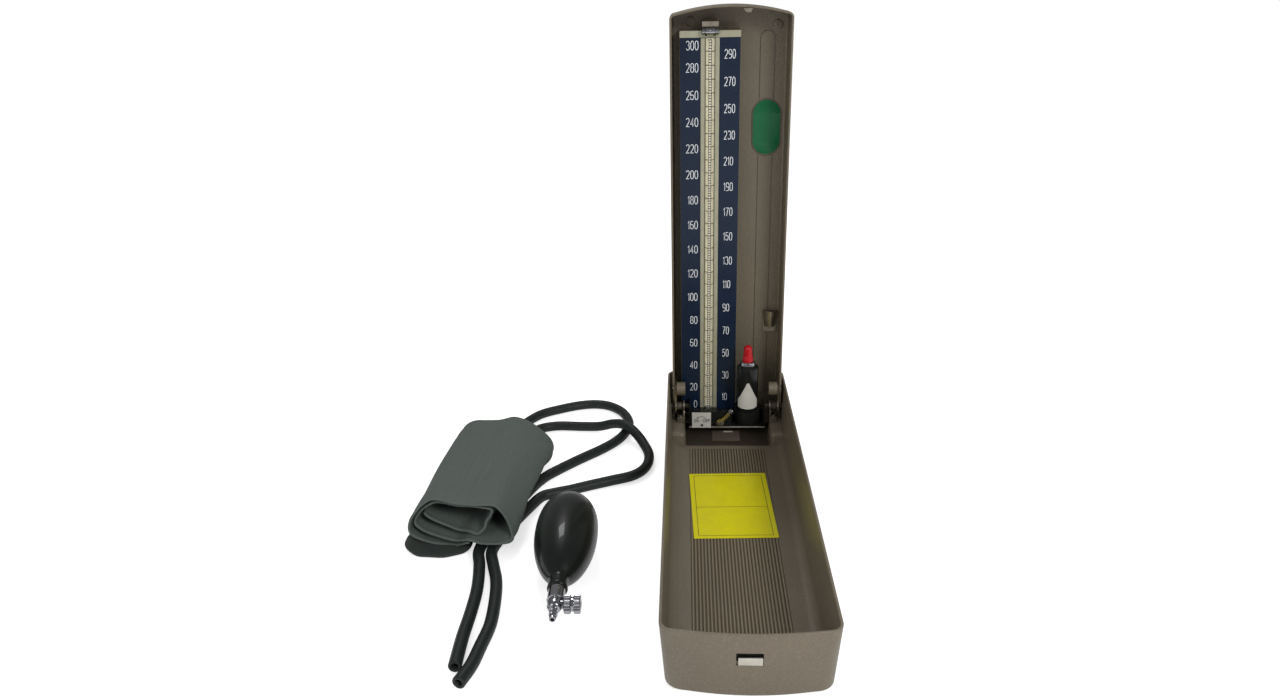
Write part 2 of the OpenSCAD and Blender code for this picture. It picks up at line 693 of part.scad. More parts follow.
module tube_clip() color(steel)
    span([scale_x - 6.1, scale_y - 3.6, plate_z1 + 7.7], [scale_x + 6.1, panel_y, plate_z1 + 11.4]);

// Dark seat that grips the foot of the tube
module tube_foot() color(black) difference() {
    span([scale_x - 7.6, block_y1 + cl, block_z0], [scale_x + 7.6, housing_front - cl, zero_z - 0.6]);
    span([scale_x - 9, scale_y + plate_t - strip_t - cl, plate_z0 - cl],
        [scale_x + 9, scale_y + 9, zero_z + 9]);
    translate([scale_x, tube_y, plate_z0]) cylinder(r = tube_r, h = 20);
    span([scale_x - tube_r, tube_y, plate_z0], [scale_x + tube_r, tube_y + 9, zero_z + 9]);
}

module tap_block() color(black) difference() {
    span([-chassis_w / 2 + chassis_t + move_cl, chassis_y0, block_z0], [block_x1, block_y1, block_z1]);
    span([-chassis_w / 2, chassis_y0 + block_lip, block_back], [block_x1 + 1, block_y1 + 1, block_z1 + 1]);
    rod_y(1.5 + run_cl, chassis_y0 - 1, chassis_y0 + 9, tap_x, tap_z);
}

module on_off_plate() color("whitesmoke")
    span([sign_x0, chassis_y0 - 0.5, chassis_z0 + cl], [sign_x0 + sign_w, chassis_y0, block_z1 - 0.5]);

module reservoir_foot() color(black)
    translate([foot_x, foot_y, block_z0]) cylinder(r = foot_r, h = block_z1 - block_z0);

module reservoir_body() color(black)
    translate([reservoir_x, reservoir_y, reservoir_z0]) rotate_extrude()
        polygon([[0, 0], [reservoir_r, 0], [reservoir_r, reservoir_top - reservoir_z0 - 2],
            [reservoir_r - 2, reservoir_top - reservoir_z0], [0, reservoir_top - reservoir_z0]]);

// Curved blank label on the front of the reservoir
module reservoir_decal() color("white") intersection() {
    difference() {
        translate([reservoir_x, reservoir_y, 25]) cylinder(r = reservoir_r + 0.3, h = 30);
        translate([reservoir_x, reservoir_y, 24]) cylinder(r = reservoir_r + 0.05, h = 32);
    }
    translate([reservoir_x, reservoir_y - 3, 0]) rotate([90, 0, 0]) linear_extrude(10)
        polygon([[-7.7, 28], [-5, 27.3], [0, 27], [5, 27.3], [7.7, 28], [7.7, 34.5],
            [0.8, 50], [-0.8, 50], [-7.7, 34.5]]);
}

module reservoir_ring() color(chrome)
    translate([reservoir_x, reservoir_y, reservoir_top]) difference() {
        cylinder(r1 = ring_r, r2 = ring_r - 0.7, h = ring_h);
        translate([0, 0, -1]) cylinder(r = nozzle_r, h = 9);
    }

module reservoir_nozzle() color("tan")
    translate([reservoir_x, reservoir_y, reservoir_top]) cylinder(r = nozzle_r, h = ring_h + nozzle_h);

// --- what the hand moves ---------------------------------------------------

// Local frame of the tap: X along the lever, Z out of the block's face
module on_tap() translate([tap_x, tap_y, tap_z]) rotate([0, -lever_tilt, 0])
    rotate([90, 0, 0]) children();

module tap_spindle() color("goldenrod")
    rod_y(1.5, tap_y + lever_t / 2, chassis_y0 + 8, tap_x, tap_z);

module tap_lever() color("goldenrod") on_tap() translate([0, 0, -lever_t / 2]) {
    cylinder(r = 3.1, h = lever_t);
    translate([0, -1.3, 0]) cube([lever_l - 2, 2.6, lever_t]);
}

module tap_knob() color(chrome) on_tap() translate([lever_l - 2 + cl, 0, 0])
    rotate([0, 90, 0]) rotate_extrude()
        polygon([[0, 0], [1.3, 0], [1.3, 1], [knob_r - 0.7, 1.4], [knob_r - 0.7, 3.8],
            [knob_r - 1.2, 4.4], [0, 4.4]]);

module tap_screw() color(chrome) on_tap() translate([0, 0, lever_t / 2]) difference() {
    cylinder(r = 2.2, h = 1);
    translate([-3, -0.3, 0.5]) cube([6, 0.6, 2]);
}

// Soft domed cap pushed over the nozzle
module nozzle_cap() color("crimson")
    translate([reservoir_x, reservoir_y, reservoir_top + ring_h + cl]) rotate_extrude()
        polygon(concat([[nozzle_r + run_cl, 0], [cap_r, 0], [cap_r, 2.4], [cap_r - 0.6, 4.6],
            [cap_r - 0.8, cap_h - 3]],
            [for (a = [15 : 15 : 75]) [(cap_r - 0.8) * cos(a), cap_h - 3 + 3 * sin(a)]],
            [[0, cap_h], [0, nozzle_h + 0.4], [nozzle_r + run_cl, nozzle_h + 0.4]]));

// --- cuff, hoses and bulb --------------------------------------------------

module cuff_roll() color(cloth) difference() {
    roll_band(0, roll_turns, 0, layer_t, roll_l);
    hose_tunnel();
}

module cuff_bladder() color(rubber) difference() {
    roll_band(0.62, roll_turns - 1.15, layer_t + 0.25, layer_t + 0.25 + bladder_t, roll_l - 16);
    hose_tunnel();
}

// Rounded tail of the wrap that shows beneath the roll's mouth
module cuff_flap() color(cloth) translate([roll_x, roll_y, 0]) rotate([0, 0, roll_turn])
    intersection() {
        translate([-roll_w / 2 + 18, -roll_l / 2 - cl, 0.2]) cylinder(r = 17, h = 2.6);
        span([-roll_w / 2, -roll_l / 2 - 11, 0], [0, -roll_l / 2 - cl, 9]);
    }

module hose_a() color(rubber) hose(route_a, hose_d / 2);
module hose_b() color(rubber) hose(route_b, hose_d / 2);

module bulb() color(rubber) on_bulb() rotate_extrude() difference() {
    union() {
        polygon(concat([for (a = [0 : 7.5 : 90]) [bulb_profile(-bulb_back * cos(a)), -bulb_back * cos(a)]],
            [for (i = [1 : 14]) [bulb_profile(i / 14 * 0.97 * bulb_front), i / 14 * 0.97 * bulb_front]],
            [[0, 0.97 * bulb_front]]));
        translate([0, bulb_front - 9]) square([neck_r, bulb_end - bulb_front + 9]);
    }
    translate([0, bulb_end - 12]) square([valve_r - 1.4, 20]);
    translate([0, -bulb_back - 1]) square([3.2, 4]);
}

module bulb_inlet() color(chrome) on_bulb() translate([0, 0, -bulb_back - 0.4])
    difference() {
        cylinder(r = 3.1, h = 3.2);
        translate([0, 0, -1]) cylinder(r = 1, h = 3);
    }

// Release valve: a barrel in the bulb's neck, a side seat and a hose spigot
module valve_body() color(chrome) on_bulb() translate([0, 0, bulb_end]) {
    difference() {
        union() {
            translate([0, 0, cl]) cylinder(r = valve_r, h = barrel_l - cl);
            translate([0, 0, barrel_l]) cylinder(r = seat_r, h = seat_l);
        }
        translate([0, 0, thumb_s]) rotate([0, 90, 0]) cylinder(r = thumb_pin_r + run_cl, h = 9);
    }
    translate([0, 0, -10]) cylinder(r = valve_r - 1.5, h = 10 + cl);
    translate([0, 0, barrel_l + seat_l]) cylinder(r = spigot_r, h = spigot_l);
}

// Double-flanged knurled screw that opens the valve
module thumb_screw() color(chrome) on_bulb()
    translate([valve_r + cl, 0, bulb_end + thumb_s]) rotate([0, 90, 0]) {
        translate([0, 0, -3.6]) cylinder(r = thumb_pin_r, h = 5);
        cylinder(r = thumb_r, h = thumb_l * 0.42);
        translate([0, 0, thumb_l * 0.58]) cylinder(r = thumb_r, h = thumb_l * 0.42);
        cylinder(r = thumb_r - 1.2, h = thumb_l);
    }

base_case();
floor_label();
floor_pad();
nameplate();
hinge_bracket_left();
hinge_bracket_right();
hinge_pins();
bracket_screws();
latch_button();
latch_spring();
latch_rivet();
lid_shell();
lid_badge();
lid_bumpers();
latch_hook();
pocket_clip();
hinge_plate_left();
hinge_plate_right();
plate_rivets();
stay_curl_left();
stay_curl_right();
chassis();
scale_housing();
scale_plate_left();
scale_plate_right();
scale_backing();
side_strips();
glass_tube();
mercury_column();
top_bezel();
tube_cap();
tube_vent_plug();
tube_clip();
tube_foot();
tap_block();
tap_spindle();
on_off_plate();
reservoir_foot();
reservoir_body();
reservoir_decal();
reservoir_ring();
reservoir_nozzle();
tap_lever();
tap_knob();
tap_screw();
nozzle_cap();
cuff_roll();
cuff_bladder();
cuff_flap();
hose_a();
hose_b();
bulb();
bulb_inlet();
valve_body();
thumb_screw();
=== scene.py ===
"""Desk sphygmomanometer: a painted case with its lid standing, a rolled arm cuff, hoses and a squeeze bulb."""

import json
from math import cos, pi, radians, sin

import bmesh
import bpy
import numpy as np
from mathutils import Matrix, Vector

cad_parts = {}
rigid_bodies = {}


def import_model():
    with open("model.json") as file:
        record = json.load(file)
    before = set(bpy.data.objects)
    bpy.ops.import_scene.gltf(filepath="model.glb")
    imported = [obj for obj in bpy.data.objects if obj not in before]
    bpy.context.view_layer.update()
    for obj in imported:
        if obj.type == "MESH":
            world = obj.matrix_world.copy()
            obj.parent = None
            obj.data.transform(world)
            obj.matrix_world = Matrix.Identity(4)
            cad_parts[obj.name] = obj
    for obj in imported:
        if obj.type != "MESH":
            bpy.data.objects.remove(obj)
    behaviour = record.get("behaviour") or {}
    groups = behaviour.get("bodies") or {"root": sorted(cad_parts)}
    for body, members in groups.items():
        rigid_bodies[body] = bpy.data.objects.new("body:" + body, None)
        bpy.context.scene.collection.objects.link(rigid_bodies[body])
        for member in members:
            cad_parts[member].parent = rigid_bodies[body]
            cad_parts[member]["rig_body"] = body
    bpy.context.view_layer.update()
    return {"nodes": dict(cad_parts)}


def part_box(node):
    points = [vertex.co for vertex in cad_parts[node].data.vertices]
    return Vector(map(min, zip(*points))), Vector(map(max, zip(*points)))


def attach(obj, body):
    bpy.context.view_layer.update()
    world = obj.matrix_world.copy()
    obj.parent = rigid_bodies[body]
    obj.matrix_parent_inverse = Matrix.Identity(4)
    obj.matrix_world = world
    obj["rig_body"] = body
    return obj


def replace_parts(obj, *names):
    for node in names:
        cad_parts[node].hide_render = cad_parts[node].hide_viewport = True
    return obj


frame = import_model()
MM = 0.001

# --- camera -----------------------------------------------------------------

IMAGE_WIDTH = 1280
CAMERA_FOCAL = 961.465  # in pixels of that image
CAMERA_PLACE = (-33.807, -586.435, 363.857)  # mm
CAMERA_YAW, CAMERA_PITCH, CAMERA_ROLL = 0.05093, 0.37910, -0.02305  # radians
SENSOR = 36


def make_camera():
    """Camera from its yaw, its pitch down and its roll about the line of sight."""
    ahead = Vector(
        (
            -sin(CAMERA_YAW) * cos(CAMERA_PITCH),
            cos(CAMERA_YAW) * cos(CAMERA_PITCH),
            -sin(CAMERA_PITCH),
        )
    )
    level = Vector((cos(CAMERA_YAW), sin(CAMERA_YAW), 0))
    upright = level.cross(ahead)
    right = level * cos(CAMERA_ROLL) + upright * sin(CAMERA_ROLL)
    up = upright * cos(CAMERA_ROLL) - level * sin(CAMERA_ROLL)
    data = bpy.data.cameras.new("camera")
    data.sensor_width = SENSOR
    data.lens = CAMERA_FOCAL * SENSOR / IMAGE_WIDTH
    data.clip_start, data.clip_end = 0.01, 20
    camera = bpy.data.objects.new("camera", data)
    bpy.context.collection.objects.link(camera)
    camera.matrix_world = Matrix.Translation(Vector(CAMERA_PLACE) * MM) @ (
        Matrix((right, up, -ahead)).transposed().to_4x4()
    )
    bpy.context.scene.camera = camera


make_camera()

# --- materials --------------------------------------------------------------


def linear(colour):
    """Linear colour of an sRGB triple from 0 to 255."""
    c = np.array(colour) / 255
    c = np.where(c <= 0.04045, c / 12.92, ((c + 0.055) / 1.055) ** 2.4)
    return (*c.tolist(), 1)


class Nodes:
    """Adds nodes to a tree; an input given as an output socket is linked, any other is set."""

    def __init__(self, tree):
        self.tree = tree

    def add(self, kind, attributes=(), **inputs):
        node = self.tree.nodes.new(kind)
        for name, value in dict(attributes).items():
            setattr(node, name, value)
        for name, value in inputs.items():
            self.feed(node, name.replace("_", " "), value)
        return node

    def feed(self, node, name, value):
        socket = node.inputs[int(name[1:])] if name[0] == "i" and name[1:].isdigit() else node.inputs[name]
        if isinstance(value, bpy.types.NodeSocket):
            self.tree.links.new(value, socket)
        else:
            socket.default_value = value

    def maths(self, operation, a, b=0.0):
        return self.add("ShaderNodeMath", {"operation": operation}, i0=a, i1=b).outputs[0]

    def ramp(self, factor, stops):
        """Grey ramp through (position, value) stops."""
        node = self.add("ShaderNodeValToRGB", Fac=factor)
        marks = node.color_ramp.elements
        while len(marks) < len(stops):
            marks.new(0.5)
        for mark, (place, value) in zip(marks, stops):
            mark.position, mark.color = place, (value, value, value, 1)
        return node.outputs["Color"]

    def mix(self, factor, a, b, blend="MIX"):
        node = self.add("ShaderNodeMix", {"data_type": "RGBA", "blend_type": blend}, i0=factor, i6=a, i7=b)
        return node.outputs[2]


def effect(name, inputs, outputs):
    """A shader node group with those named sockets, as (group, its Nodes, its input sockets, its output node)."""
    group = bpy.data.node_groups.new(name, "ShaderNodeTree")
    for way, sockets in (("INPUT", inputs), ("OUTPUT", outputs)):
        for label, kind in sockets.items():
            group.interface.new_socket(label, in_out=way, socket_type=f"NodeSocket{kind}")
    made = Nodes(group)
    return group, made, made.add("NodeGroupInput").outputs, made.add("NodeGroupOutput")


def hammer_effect():
    """Hammertone: soft round dimples of cell noise with a metallic fleck between them."""
    group, n, given, out = effect(
        "hammertone",
        {"Colour": "Color", "Fleck": "Color", "Size": "Float", "Depth": "Float"},
        {"Colour": "Color", "Roughness": "Float", "Normal": "Vector"},
    )
    place = n.add("ShaderNodeTexCoord").outputs["Object"]
    warp = n.add("ShaderNodeTexNoise", Vector=place, Scale=900.0, Detail=2.0).outputs["Fac"]
    cells = n.add(
        "ShaderNodeTexVoronoi", {"feature": "SMOOTH_F1"}, Vector=place, Scale=given["Size"], Smoothness=0.6
    ).outputs["Distance"]
    fine = n.add("ShaderNodeTexNoise", Vector=place, Scale=given["Size"], Detail=4.0, Roughness=0.7).outputs["Fac"]
    broad = n.add("ShaderNodeTexNoise", Vector=place, Scale=14.0, Detail=2.0).outputs["Fac"]
    height = n.maths("ADD", cells, n.maths("MULTIPLY", fine, 0.7))
    fleck = n.maths("MULTIPLY", n.ramp(fine, [(0.46, 0.0), (0.72, 1.0)]), n.ramp(warp, [(0.4, 0.2), (0.7, 1.0)]))
    tone = n.mix(fleck, given["Colour"], given["Fleck"])
    n.feed(out, "Colour", n.mix(1.0, tone, n.ramp(broad, [(0.3, 0.9), (0.7, 1.06)]), "MULTIPLY"))
    n.feed(out, "Roughness", n.ramp(fine, [(0.3, 0.34), (0.7, 0.5)]))
    bump = n.add("ShaderNodeBump", Height=height, Strength=given["Depth"], Distance=0.0006)
    n.feed(out, "Normal", bump.outputs["Normal"])
    return group


def tone_effect():
    """Uneven tone: the colour drifts towards a second one, and the gloss with it, over noise of one size."""
    group, n, given, out = effect(
        "uneven_tone",
        {"Colour": "Color", "Second": "Color", "Size": "Float", "Roughness": "Float", "Bump": "Float"},
        {"Colour": "Color", "Roughness": "Float", "Normal": "Vector"},
    )
    place = n.add("ShaderNodeTexCoord").outputs["Object"]
    noise = n.add("ShaderNodeTexNoise", Vector=place, Scale=given["Size"], Detail=5.0, Roughness=0.6).outputs["Fac"]
    share = n.ramp(noise, [(0.35, 0.0), (0.68, 1.0)])
    n.feed(out, "Colour", n.mix(share, given["Colour"], given["Second"]))
    n.feed(out, "Roughness", n.maths("MULTIPLY", given["Roughness"], n.ramp(noise, [(0.3, 0.85), (0.7, 1.15)])))
    bump = n.add("ShaderNodeBump", Height=noise, Strength=given["Bump"], Distance=0.0004)
    n.feed(out, "Normal", bump.outputs["Normal"])
    return group


def weave_effect():
    """Plain weave: the product of two sine waves along the cloth's own directions, plus soft creases."""
    group, n, given, out = effect(
        "weave",
        {"Colour": "Color", "Worn": "Color", "Pitch": "Float", "Depth": "Float"},
        {"Colour": "Color", "Normal": "Vector"},
    )
    along = n.add("ShaderNodeAttribute", {"attribute_name": "cloth_place"}).outputs["Vector"]
    threads = []
    for direction in ("X", "Y"):
        wave = n.add(
            "ShaderNodeTexWave", {"bands_direction": direction}, Vector=along, Scale=given["Pitch"], Distortion=0.4
        )
        threads.append(wave.outputs["Fac"])
    weave = n.maths("MULTIPLY", *threads)
    cloud = n.add("ShaderNodeTexNoise", Vector=along, Scale=45.0, Detail=6.0, Roughness=0.65).outputs["Fac"]
    worn = n.mix(n.ramp(cloud, [(0.35, 0.0), (0.7, 1.0)]), given["Colour"], given["Worn"])
    n.feed(out, "Colour", n.mix(1.0, worn, n.ramp(weave, [(0.0, 0.88), (1.0, 1.08)]), "MULTIPLY"))
    height = n.maths("ADD", weave, n.maths("MULTIPLY", cloud, 1.5))
    bump = n.add("ShaderNodeBump", Height=height, Strength=given["Depth"], Distance=0.0003)
    n.feed(out, "Normal", bump.outputs["Normal"])
    return group


HAMMERTONE, UNEVEN, WEAVE = hammer_effect(), tone_effect(), weave_effect()


def material(name, group, given, **shader):
    """A Principled surface fed by an effect group; plain values go on its own sockets."""
    made = bpy.data.materials.new(name)
    made.use_nodes = True
    n = Nodes(made.node_tree)
    surface = made.node_tree.nodes["Principled BSDF"]
    work = n.add("ShaderNodeGroup", {"node_tree": group})
    for label, value in given.items():
        n.feed(work, label, value)
    for label, socket in (("Colour", "Base Color"), ("Roughness", "Roughness"), ("Normal", "Normal")):
        if label in work.outputs:
            n.feed(surface, socket, work.outputs[label])
    for label, value in shader.items():
        n.feed(surface, label.replace("_", " "), value)
    return made


def uneven(name, colour, second, rough, size=120.0, bump=0.05, **shader):
    """A finish whose tone and gloss drift over the surface."""
    given = {"Colour": linear(colour), "Second": linear(second), "Size": size, "Roughness": rough, "Bump": bump}
    return material(name, UNEVEN, given, **shader)


def hammered(name, colour, fleck, depth=0.2):
    """Hammertone paint."""
    given = {"Colour": linear(colour), "Fleck": linear(fleck), "Size": 760.0, "Depth": depth}
    return material(name, HAMMERTONE, given, Metallic=0.1, Specular_IOR_Level=0.45)


def cloth_finish(name, colour, worn):
    """Woven nylon with a soft sheen."""
    given = {"Colour": linear(colour), "Worn": linear(worn), "Pitch": 420.0, "Depth": 0.3}
    return material(name, WEAVE, given, Roughness=0.8, Specular_IOR_Level=0.2)


def dark(name, colour, second, rough, **shader):
    """A dark finish with little mirrored haze."""
    return uneven(name, colour, second, rough, size=40.0, bump=0.0, Specular_IOR_Level=0.25, **shader)


FINISH = {
    "case_paint": hammered("case_paint", (111, 102, 87), (136, 126, 110)),
    "lid_paint": hammered("lid_paint", (108, 99, 83), (132, 121, 104)),
    "yellow_label": uneven("yellow_label", (222, 214, 10), (214, 205, 8), 0.3, bump=0.0),
    # dark brown that paints the shade beneath the chassis onto the floor pad
    "black_sheet": dark("black_sheet", (48, 41, 33), (58, 50, 40), 0.5),
    "bronze_plate": uneven("bronze_plate", (92, 82, 74), (106, 94, 84), 0.35, Metallic=0.2),
    "plated_steel": uneven("plated_steel", (160, 152, 137), (132, 124, 110), 0.32, Metallic=0.85),
    "chrome": uneven("chrome", (168, 169, 173), (150, 151, 156), 0.14, bump=0.0, Metallic=1.0),
    "green_badge": dark("green_badge", (16, 98, 58), (20, 104, 64), 0.3),
    "navy_plate": dark("navy_plate", (15, 29, 49), (18, 33, 55), 0.28),
    "ivory_card": uneven("ivory_card", (246, 238, 206), (238, 228, 192), 0.5, bump=0.0),
    "aluminium_strip": uneven("aluminium_strip", (166, 164, 142), (154, 151, 130), 0.4, Metallic=0.3),
    "clear_glass": uneven("clear_glass", (250, 252, 250), (246, 250, 247), 0.05, bump=0.0, Alpha=0.12),
    "mercury": uneven("mercury", (150, 152, 156), (130, 132, 137), 0.08, bump=0.0, Metallic=1.0),
    "black_enamel": dark("black_enamel", (20, 22, 21), (27, 29, 27), 0.25),
    "brass": uneven("brass", (196, 178, 112), (172, 152, 88), 0.25, Metallic=0.9),
    "white_plate": uneven("white_plate", (200, 198, 190), (190, 188, 180), 0.35, bump=0.0),
    "red_cap": uneven("red_cap", (186, 16, 26), (168, 12, 22), 0.3, size=80.0, Specular_IOR_Level=0.35),
    "cuff_cloth": cloth_finish("cuff_cloth", (82, 90, 85), (94, 102, 96)),
    "hose_rubber": uneven(
        "hose_rubber", (21, 28, 26), (28, 35, 33), 0.5, size=300.0, bump=0.1, Specular_IOR_Level=0.3
    ),
    "bulb_rubber": dark("bulb_rubber", (10, 16, 12), (15, 21, 17), 0.35, Coat_Weight=0.24, Coat_Roughness=0.04),
}
INK = {
    "white": uneven("white_ink", (240, 242, 244), (230, 233, 236), 0.45, bump=0.0),
    "black": uneven("black_ink", (22, 20, 18), (34, 31, 28), 0.5, bump=0.0),
    "cloth_dark": cloth_finish("cloth_dark", (52, 57, 54), (62, 67, 63)),
    # lighter copy of the case paint: painted light on the rib tops
    "rib_painted_light": hammered("rib_painted_light", (128, 117, 97), (150, 138, 116), 0.1),
    "ivory_print": uneven("ivory_print", (214, 208, 190), (204, 198, 180), 0.5, bump=0.0),
    "rib_shade": dark("rib_shade", (70, 62, 49), (78, 69, 55), 0.6),
    # near-black finish that paints the shade inside the latch slot
    "painted_slot_shade": dark("painted_slot_shade", (14, 13, 12), (20, 18, 16), 0.6),
    "pin_steel": uneven("pin_steel", (88, 79, 65), (80, 71, 58), 0.55, bump=0.0),
    "bright_steel": uneven("bright_steel", (206, 202, 192), (186, 181, 170), 0.3, bump=0.0, Metallic=0.8),
}

# --- making pieces ----------------------------------------------------------


def grid_faces(rows, columns, wrap_rows=False, wrap_columns=True):
    """Four-sided faces of a grid whose point (i, k) has the number i * columns + k."""
    i = np.arange(rows if wrap_rows else rows - 1)[:, None]
    k = np.arange(columns if wrap_columns else columns - 1)[None, :]
    j, m = (i + 1) % rows, (k + 1) % columns
    corners = [i * columns + k, i * columns + m, j * columns + m, j * columns + k]
    return np.stack(np.broadcast_arrays(*corners), axis=-1).reshape(-1, 4)


def end_faces(rows, columns):
    """The faces that close the first and the last ring of such a grid."""
    return [list(range(columns))[::-1], [(rows - 1) * columns + k for k in range(columns)]]


def unit(vectors):
    """Vectors along the last axis, each brought to a length of one."""
    return vectors / np.linalg.norm(vectors, axis=-1)[..., None]


def finished(mesh, name, body, finish, smooth=35, recalculate=True):
    """An object at the origin from a mesh: merged, facing out, smooth below an angle, riding on its body."""
    work = bmesh.new()
    work.from_mesh(mesh)
    bmesh.ops.remove_doubles(work, verts=work.verts, dist=1e-6)
    if recalculate:
        bmesh.ops.recalc_face_normals(work, faces=work.faces)
    work.to_mesh(mesh)
    work.free()
    mesh.shade_smooth()
    mesh.set_sharp_from_angle(angle=radians(smooth))
    mesh.materials.clear()
    mesh.materials.append(FINISH.get(finish) or INK[finish])
    piece = bpy.data.objects.new(name, mesh)
    bpy.context.collection.objects.link(piece)
    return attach(piece, body)


def solid(name, points, faces, body, finish, smooth=35, attribute=None):
    """A closed piece from points in millimetres and faces."""
    mesh = bpy.data.meshes.new(name)
    mesh.from_pydata((np.asarray(points).reshape(-1, 3) * MM).tolist(), [], [list(f) for f in faces])
    if attribute is not None:
        layer = mesh.attributes.new("cloth_place", "FLOAT_VECTOR", "POINT")
        layer.data.foreach_set("vector", np.asarray(attribute, np.float32).ravel())
    return finished(mesh, name, body, finish, smooth)


def loft(name, rings, body, finish, smooth=35, hollow=False):
    """A skin over closed rings of equal length, each end closed by a flat face, or end to end if hollow."""
    rings = np.asarray(rings, float)
    rows, columns = rings.shape[:2]
    faces = grid_faces(rows, columns, wrap_rows=hollow).tolist()
    if not hollow:
        faces += end_faces(rows, columns)
    return solid(name, rings, faces, body, finish, smooth)


def spin(name, profile, place, along, body, finish, steps=64, smooth=35, lobes=0, depth=0.0):
    """A profile of (radius, distance) turned about the line through place along a direction.
    With lobes, each radius swells and sinks as the cosine of so many times the angle, by the profile's third number."""
    along = Vector(along).normalized()
    side = along.orthogonal().normalized()
    frame_of = np.array([side, along.cross(side), along])
    profile = np.array([(*p, 0)[:3] for p in profile], float)
    angle = np.linspace(0, 2 * pi, steps, endpoint=False)
    swell = profile[:, 2, None] * depth * np.cos(lobes * angle)[None, :]
    radius = profile[:, 0, None] + swell
    local = np.stack(
        [radius * np.cos(angle), radius * np.sin(angle), np.broadcast_to(profile[:, 1, None], radius.shape)], axis=-1
    )
    return loft(name, local @ frame_of + np.array(place), body, finish, smooth)


def arc(centre, radius, start, turn=90, steps=10):
    """Points of an arc about a centre, from an angle through a turn, in degrees."""
    a = np.radians(np.linspace(start, start + turn, steps + 1))
    return np.stack([centre[0] + radius * np.cos(a), centre[1] + radius * np.sin(a)], axis=1)


def curved_strip(centre, inner, outer, start, turn, steps=16):
    """Outline of a strip between two arcs."""
    return np.concatenate([arc(centre, outer, start, turn, steps), arc(centre, inner, start + turn, -turn, steps)])


def rounded_box(low, high, radius, steps=6):
    """Rings of an upright box whose upright edges have a radius and whose top edge is rounded off."""
    low, high = np.array(low, float), np.array(high, float)
    top = min(radius, 0.5 * (high[2] - low[2]))
    drops = np.radians(np.linspace(0, 90, 6))
    levels = [(0, low[2])] + [(top * (1 - cos(a)), high[2] - top + top * sin(a)) for a in drops]
    rings = []
    for inset, z in levels:
        r = max(radius - inset, 0.05)
        (x0, y0), (x1, y1) = low[:2] + inset + r, high[:2] - inset - r
        plan = np.concatenate(
            [arc(c, r, s, 90, steps) for c, s in (((x1, y0), 270), ((x1, y1), 0), ((x0, y1), 90), ((x0, y0), 180))]
        )
        rings.append(np.column_stack([plan, np.full(len(plan), z)]))
    return rings


def capsule(width, height, x, z, steps=12):
    """Outline in X and Z of a round-ended upright plate about a point."""
    r, reach = width / 2, height / 2 - width / 2
    return np.concatenate([arc((x, z + reach), r, 0, 180, steps), arc((x, z - reach), r, 180, 180, steps)])


def upright(outline, y):
    """Ring in space of an outline in X and Z at a depth y."""
    return np.column_stack([outline[:, 0], np.full(len(outline), y), outline[:, 1]])


def cut(piece, tool):
    """Takes the tool's solid out of the piece and deletes the tool."""
    difference = piece.modifiers.new("cut", "BOOLEAN")
    difference.operation, difference.solver, difference.object = "DIFFERENCE", "EXACT", tool
    graph = bpy.context.evaluated_depsgraph_get()
    shaped = bpy.data.meshes.new_from_object(piece.evaluated_get(graph))
    piece.modifiers.clear()
    piece.data = shaped
    shaped.set_sharp_from_angle(angle=radians(35))
    bpy.data.objects.remove(tool)


def bevelled(piece, width, segments=2, limit=35):
    """A small rounding on the piece's sharp edges."""
    bevel = piece.modifiers.new("rounding", "BEVEL")
    bevel.width, bevel.segments = width * MM, segments
    bevel.limit_method, bevel.angle_limit = "ANGLE", radians(limit)
    bevel.harden_normals = True
    return piece


def dressed(node, finish, rounding=0.2, name=None, smooth=35):
    """The CAD node's own shape with its edges rounded: a merged copy that stands for the node."""
    body = frame["nodes"][node]["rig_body"]
    piece = finished(frame["nodes"][node].data.copy(), name or node + "_skin", body, finish, smooth, False)
    if rounding:
        bevelled(piece, rounding)
    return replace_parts(piece, node)


def box_mm(node):
    """Lowest and highest corner of a CAD node in millimetres."""
    return [np.array(corner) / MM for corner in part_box(node)]


# --- hoses ------------------------------------------------------------------

HOSE_RADIUS = 3.9
HOSE_BORE = 2.0
HOSE_LOW = HOSE_RADIUS + 0.1  # height of a hose's middle where it lies on the table
HOSE_A = [
    (-177, 84, 12), (-177, 97.65, 12), (-177, 106, 12), (-177, 116, 10), (-175, 132, 6), (-169, 151),
    (-159, 166), (-144, 176), (-127, 184), (-112, 186), (-99, 181), (-88, 168), (-82, 149), (-84, 131),
    (-90, 116), (-101, 101), (-117, 84), (-131, 68), (-141, 55), (-148, 40), (-156, 16), (-164, -10),
    (-170, -30), (-172, -46), (-168.5, -62), (-165, -86), (-164, -109), (-164, -135), (-163, -159),
]
HOSE_B = [
    (-165, 84, 11), (-165, 97.05, 11), (-165, 105, 11), (-165, 113, 8), (-162, 128, 5), (-154, 139),
    (-141, 143), (-122, 142), (-106, 139, 5.6), (-95, 135, 9.8), (-85, 128, 12.5), (-76, 120, 10), (-68, 108, 5.2),
    (-63, 90), (-65, 71), (-74, 58), (-90, 50), (-105, 43), (-119, 36), (-131, 31), (-139.5, 26), (-146, 12),
    (-155, -12), (-161.5, -34), (-163.2, -47), (-159.5, -61), (-154.5, -78), (-151.5, -98), (-150, -122),
    (-152, -142), (-154, -158), (-158, -172),
]


def with_ends(points):
    """The points with one more at each end, in line with the last two."""
    p = np.array(points, float)
    return np.vstack([2 * p[0] - p[1], p, 2 * p[-1] - p[-2]])


def cubic(a, b, c, d, t):
    """Catmull-Rom: the point at a share t from b to c, whose slopes come from their neighbours a and d."""
    return 0.5 * (2 * b + (c - a) * t + (2 * a - 5 * b + 4 * c - d) * t**2 + (3 * (b - c) + d - a) * t**3)


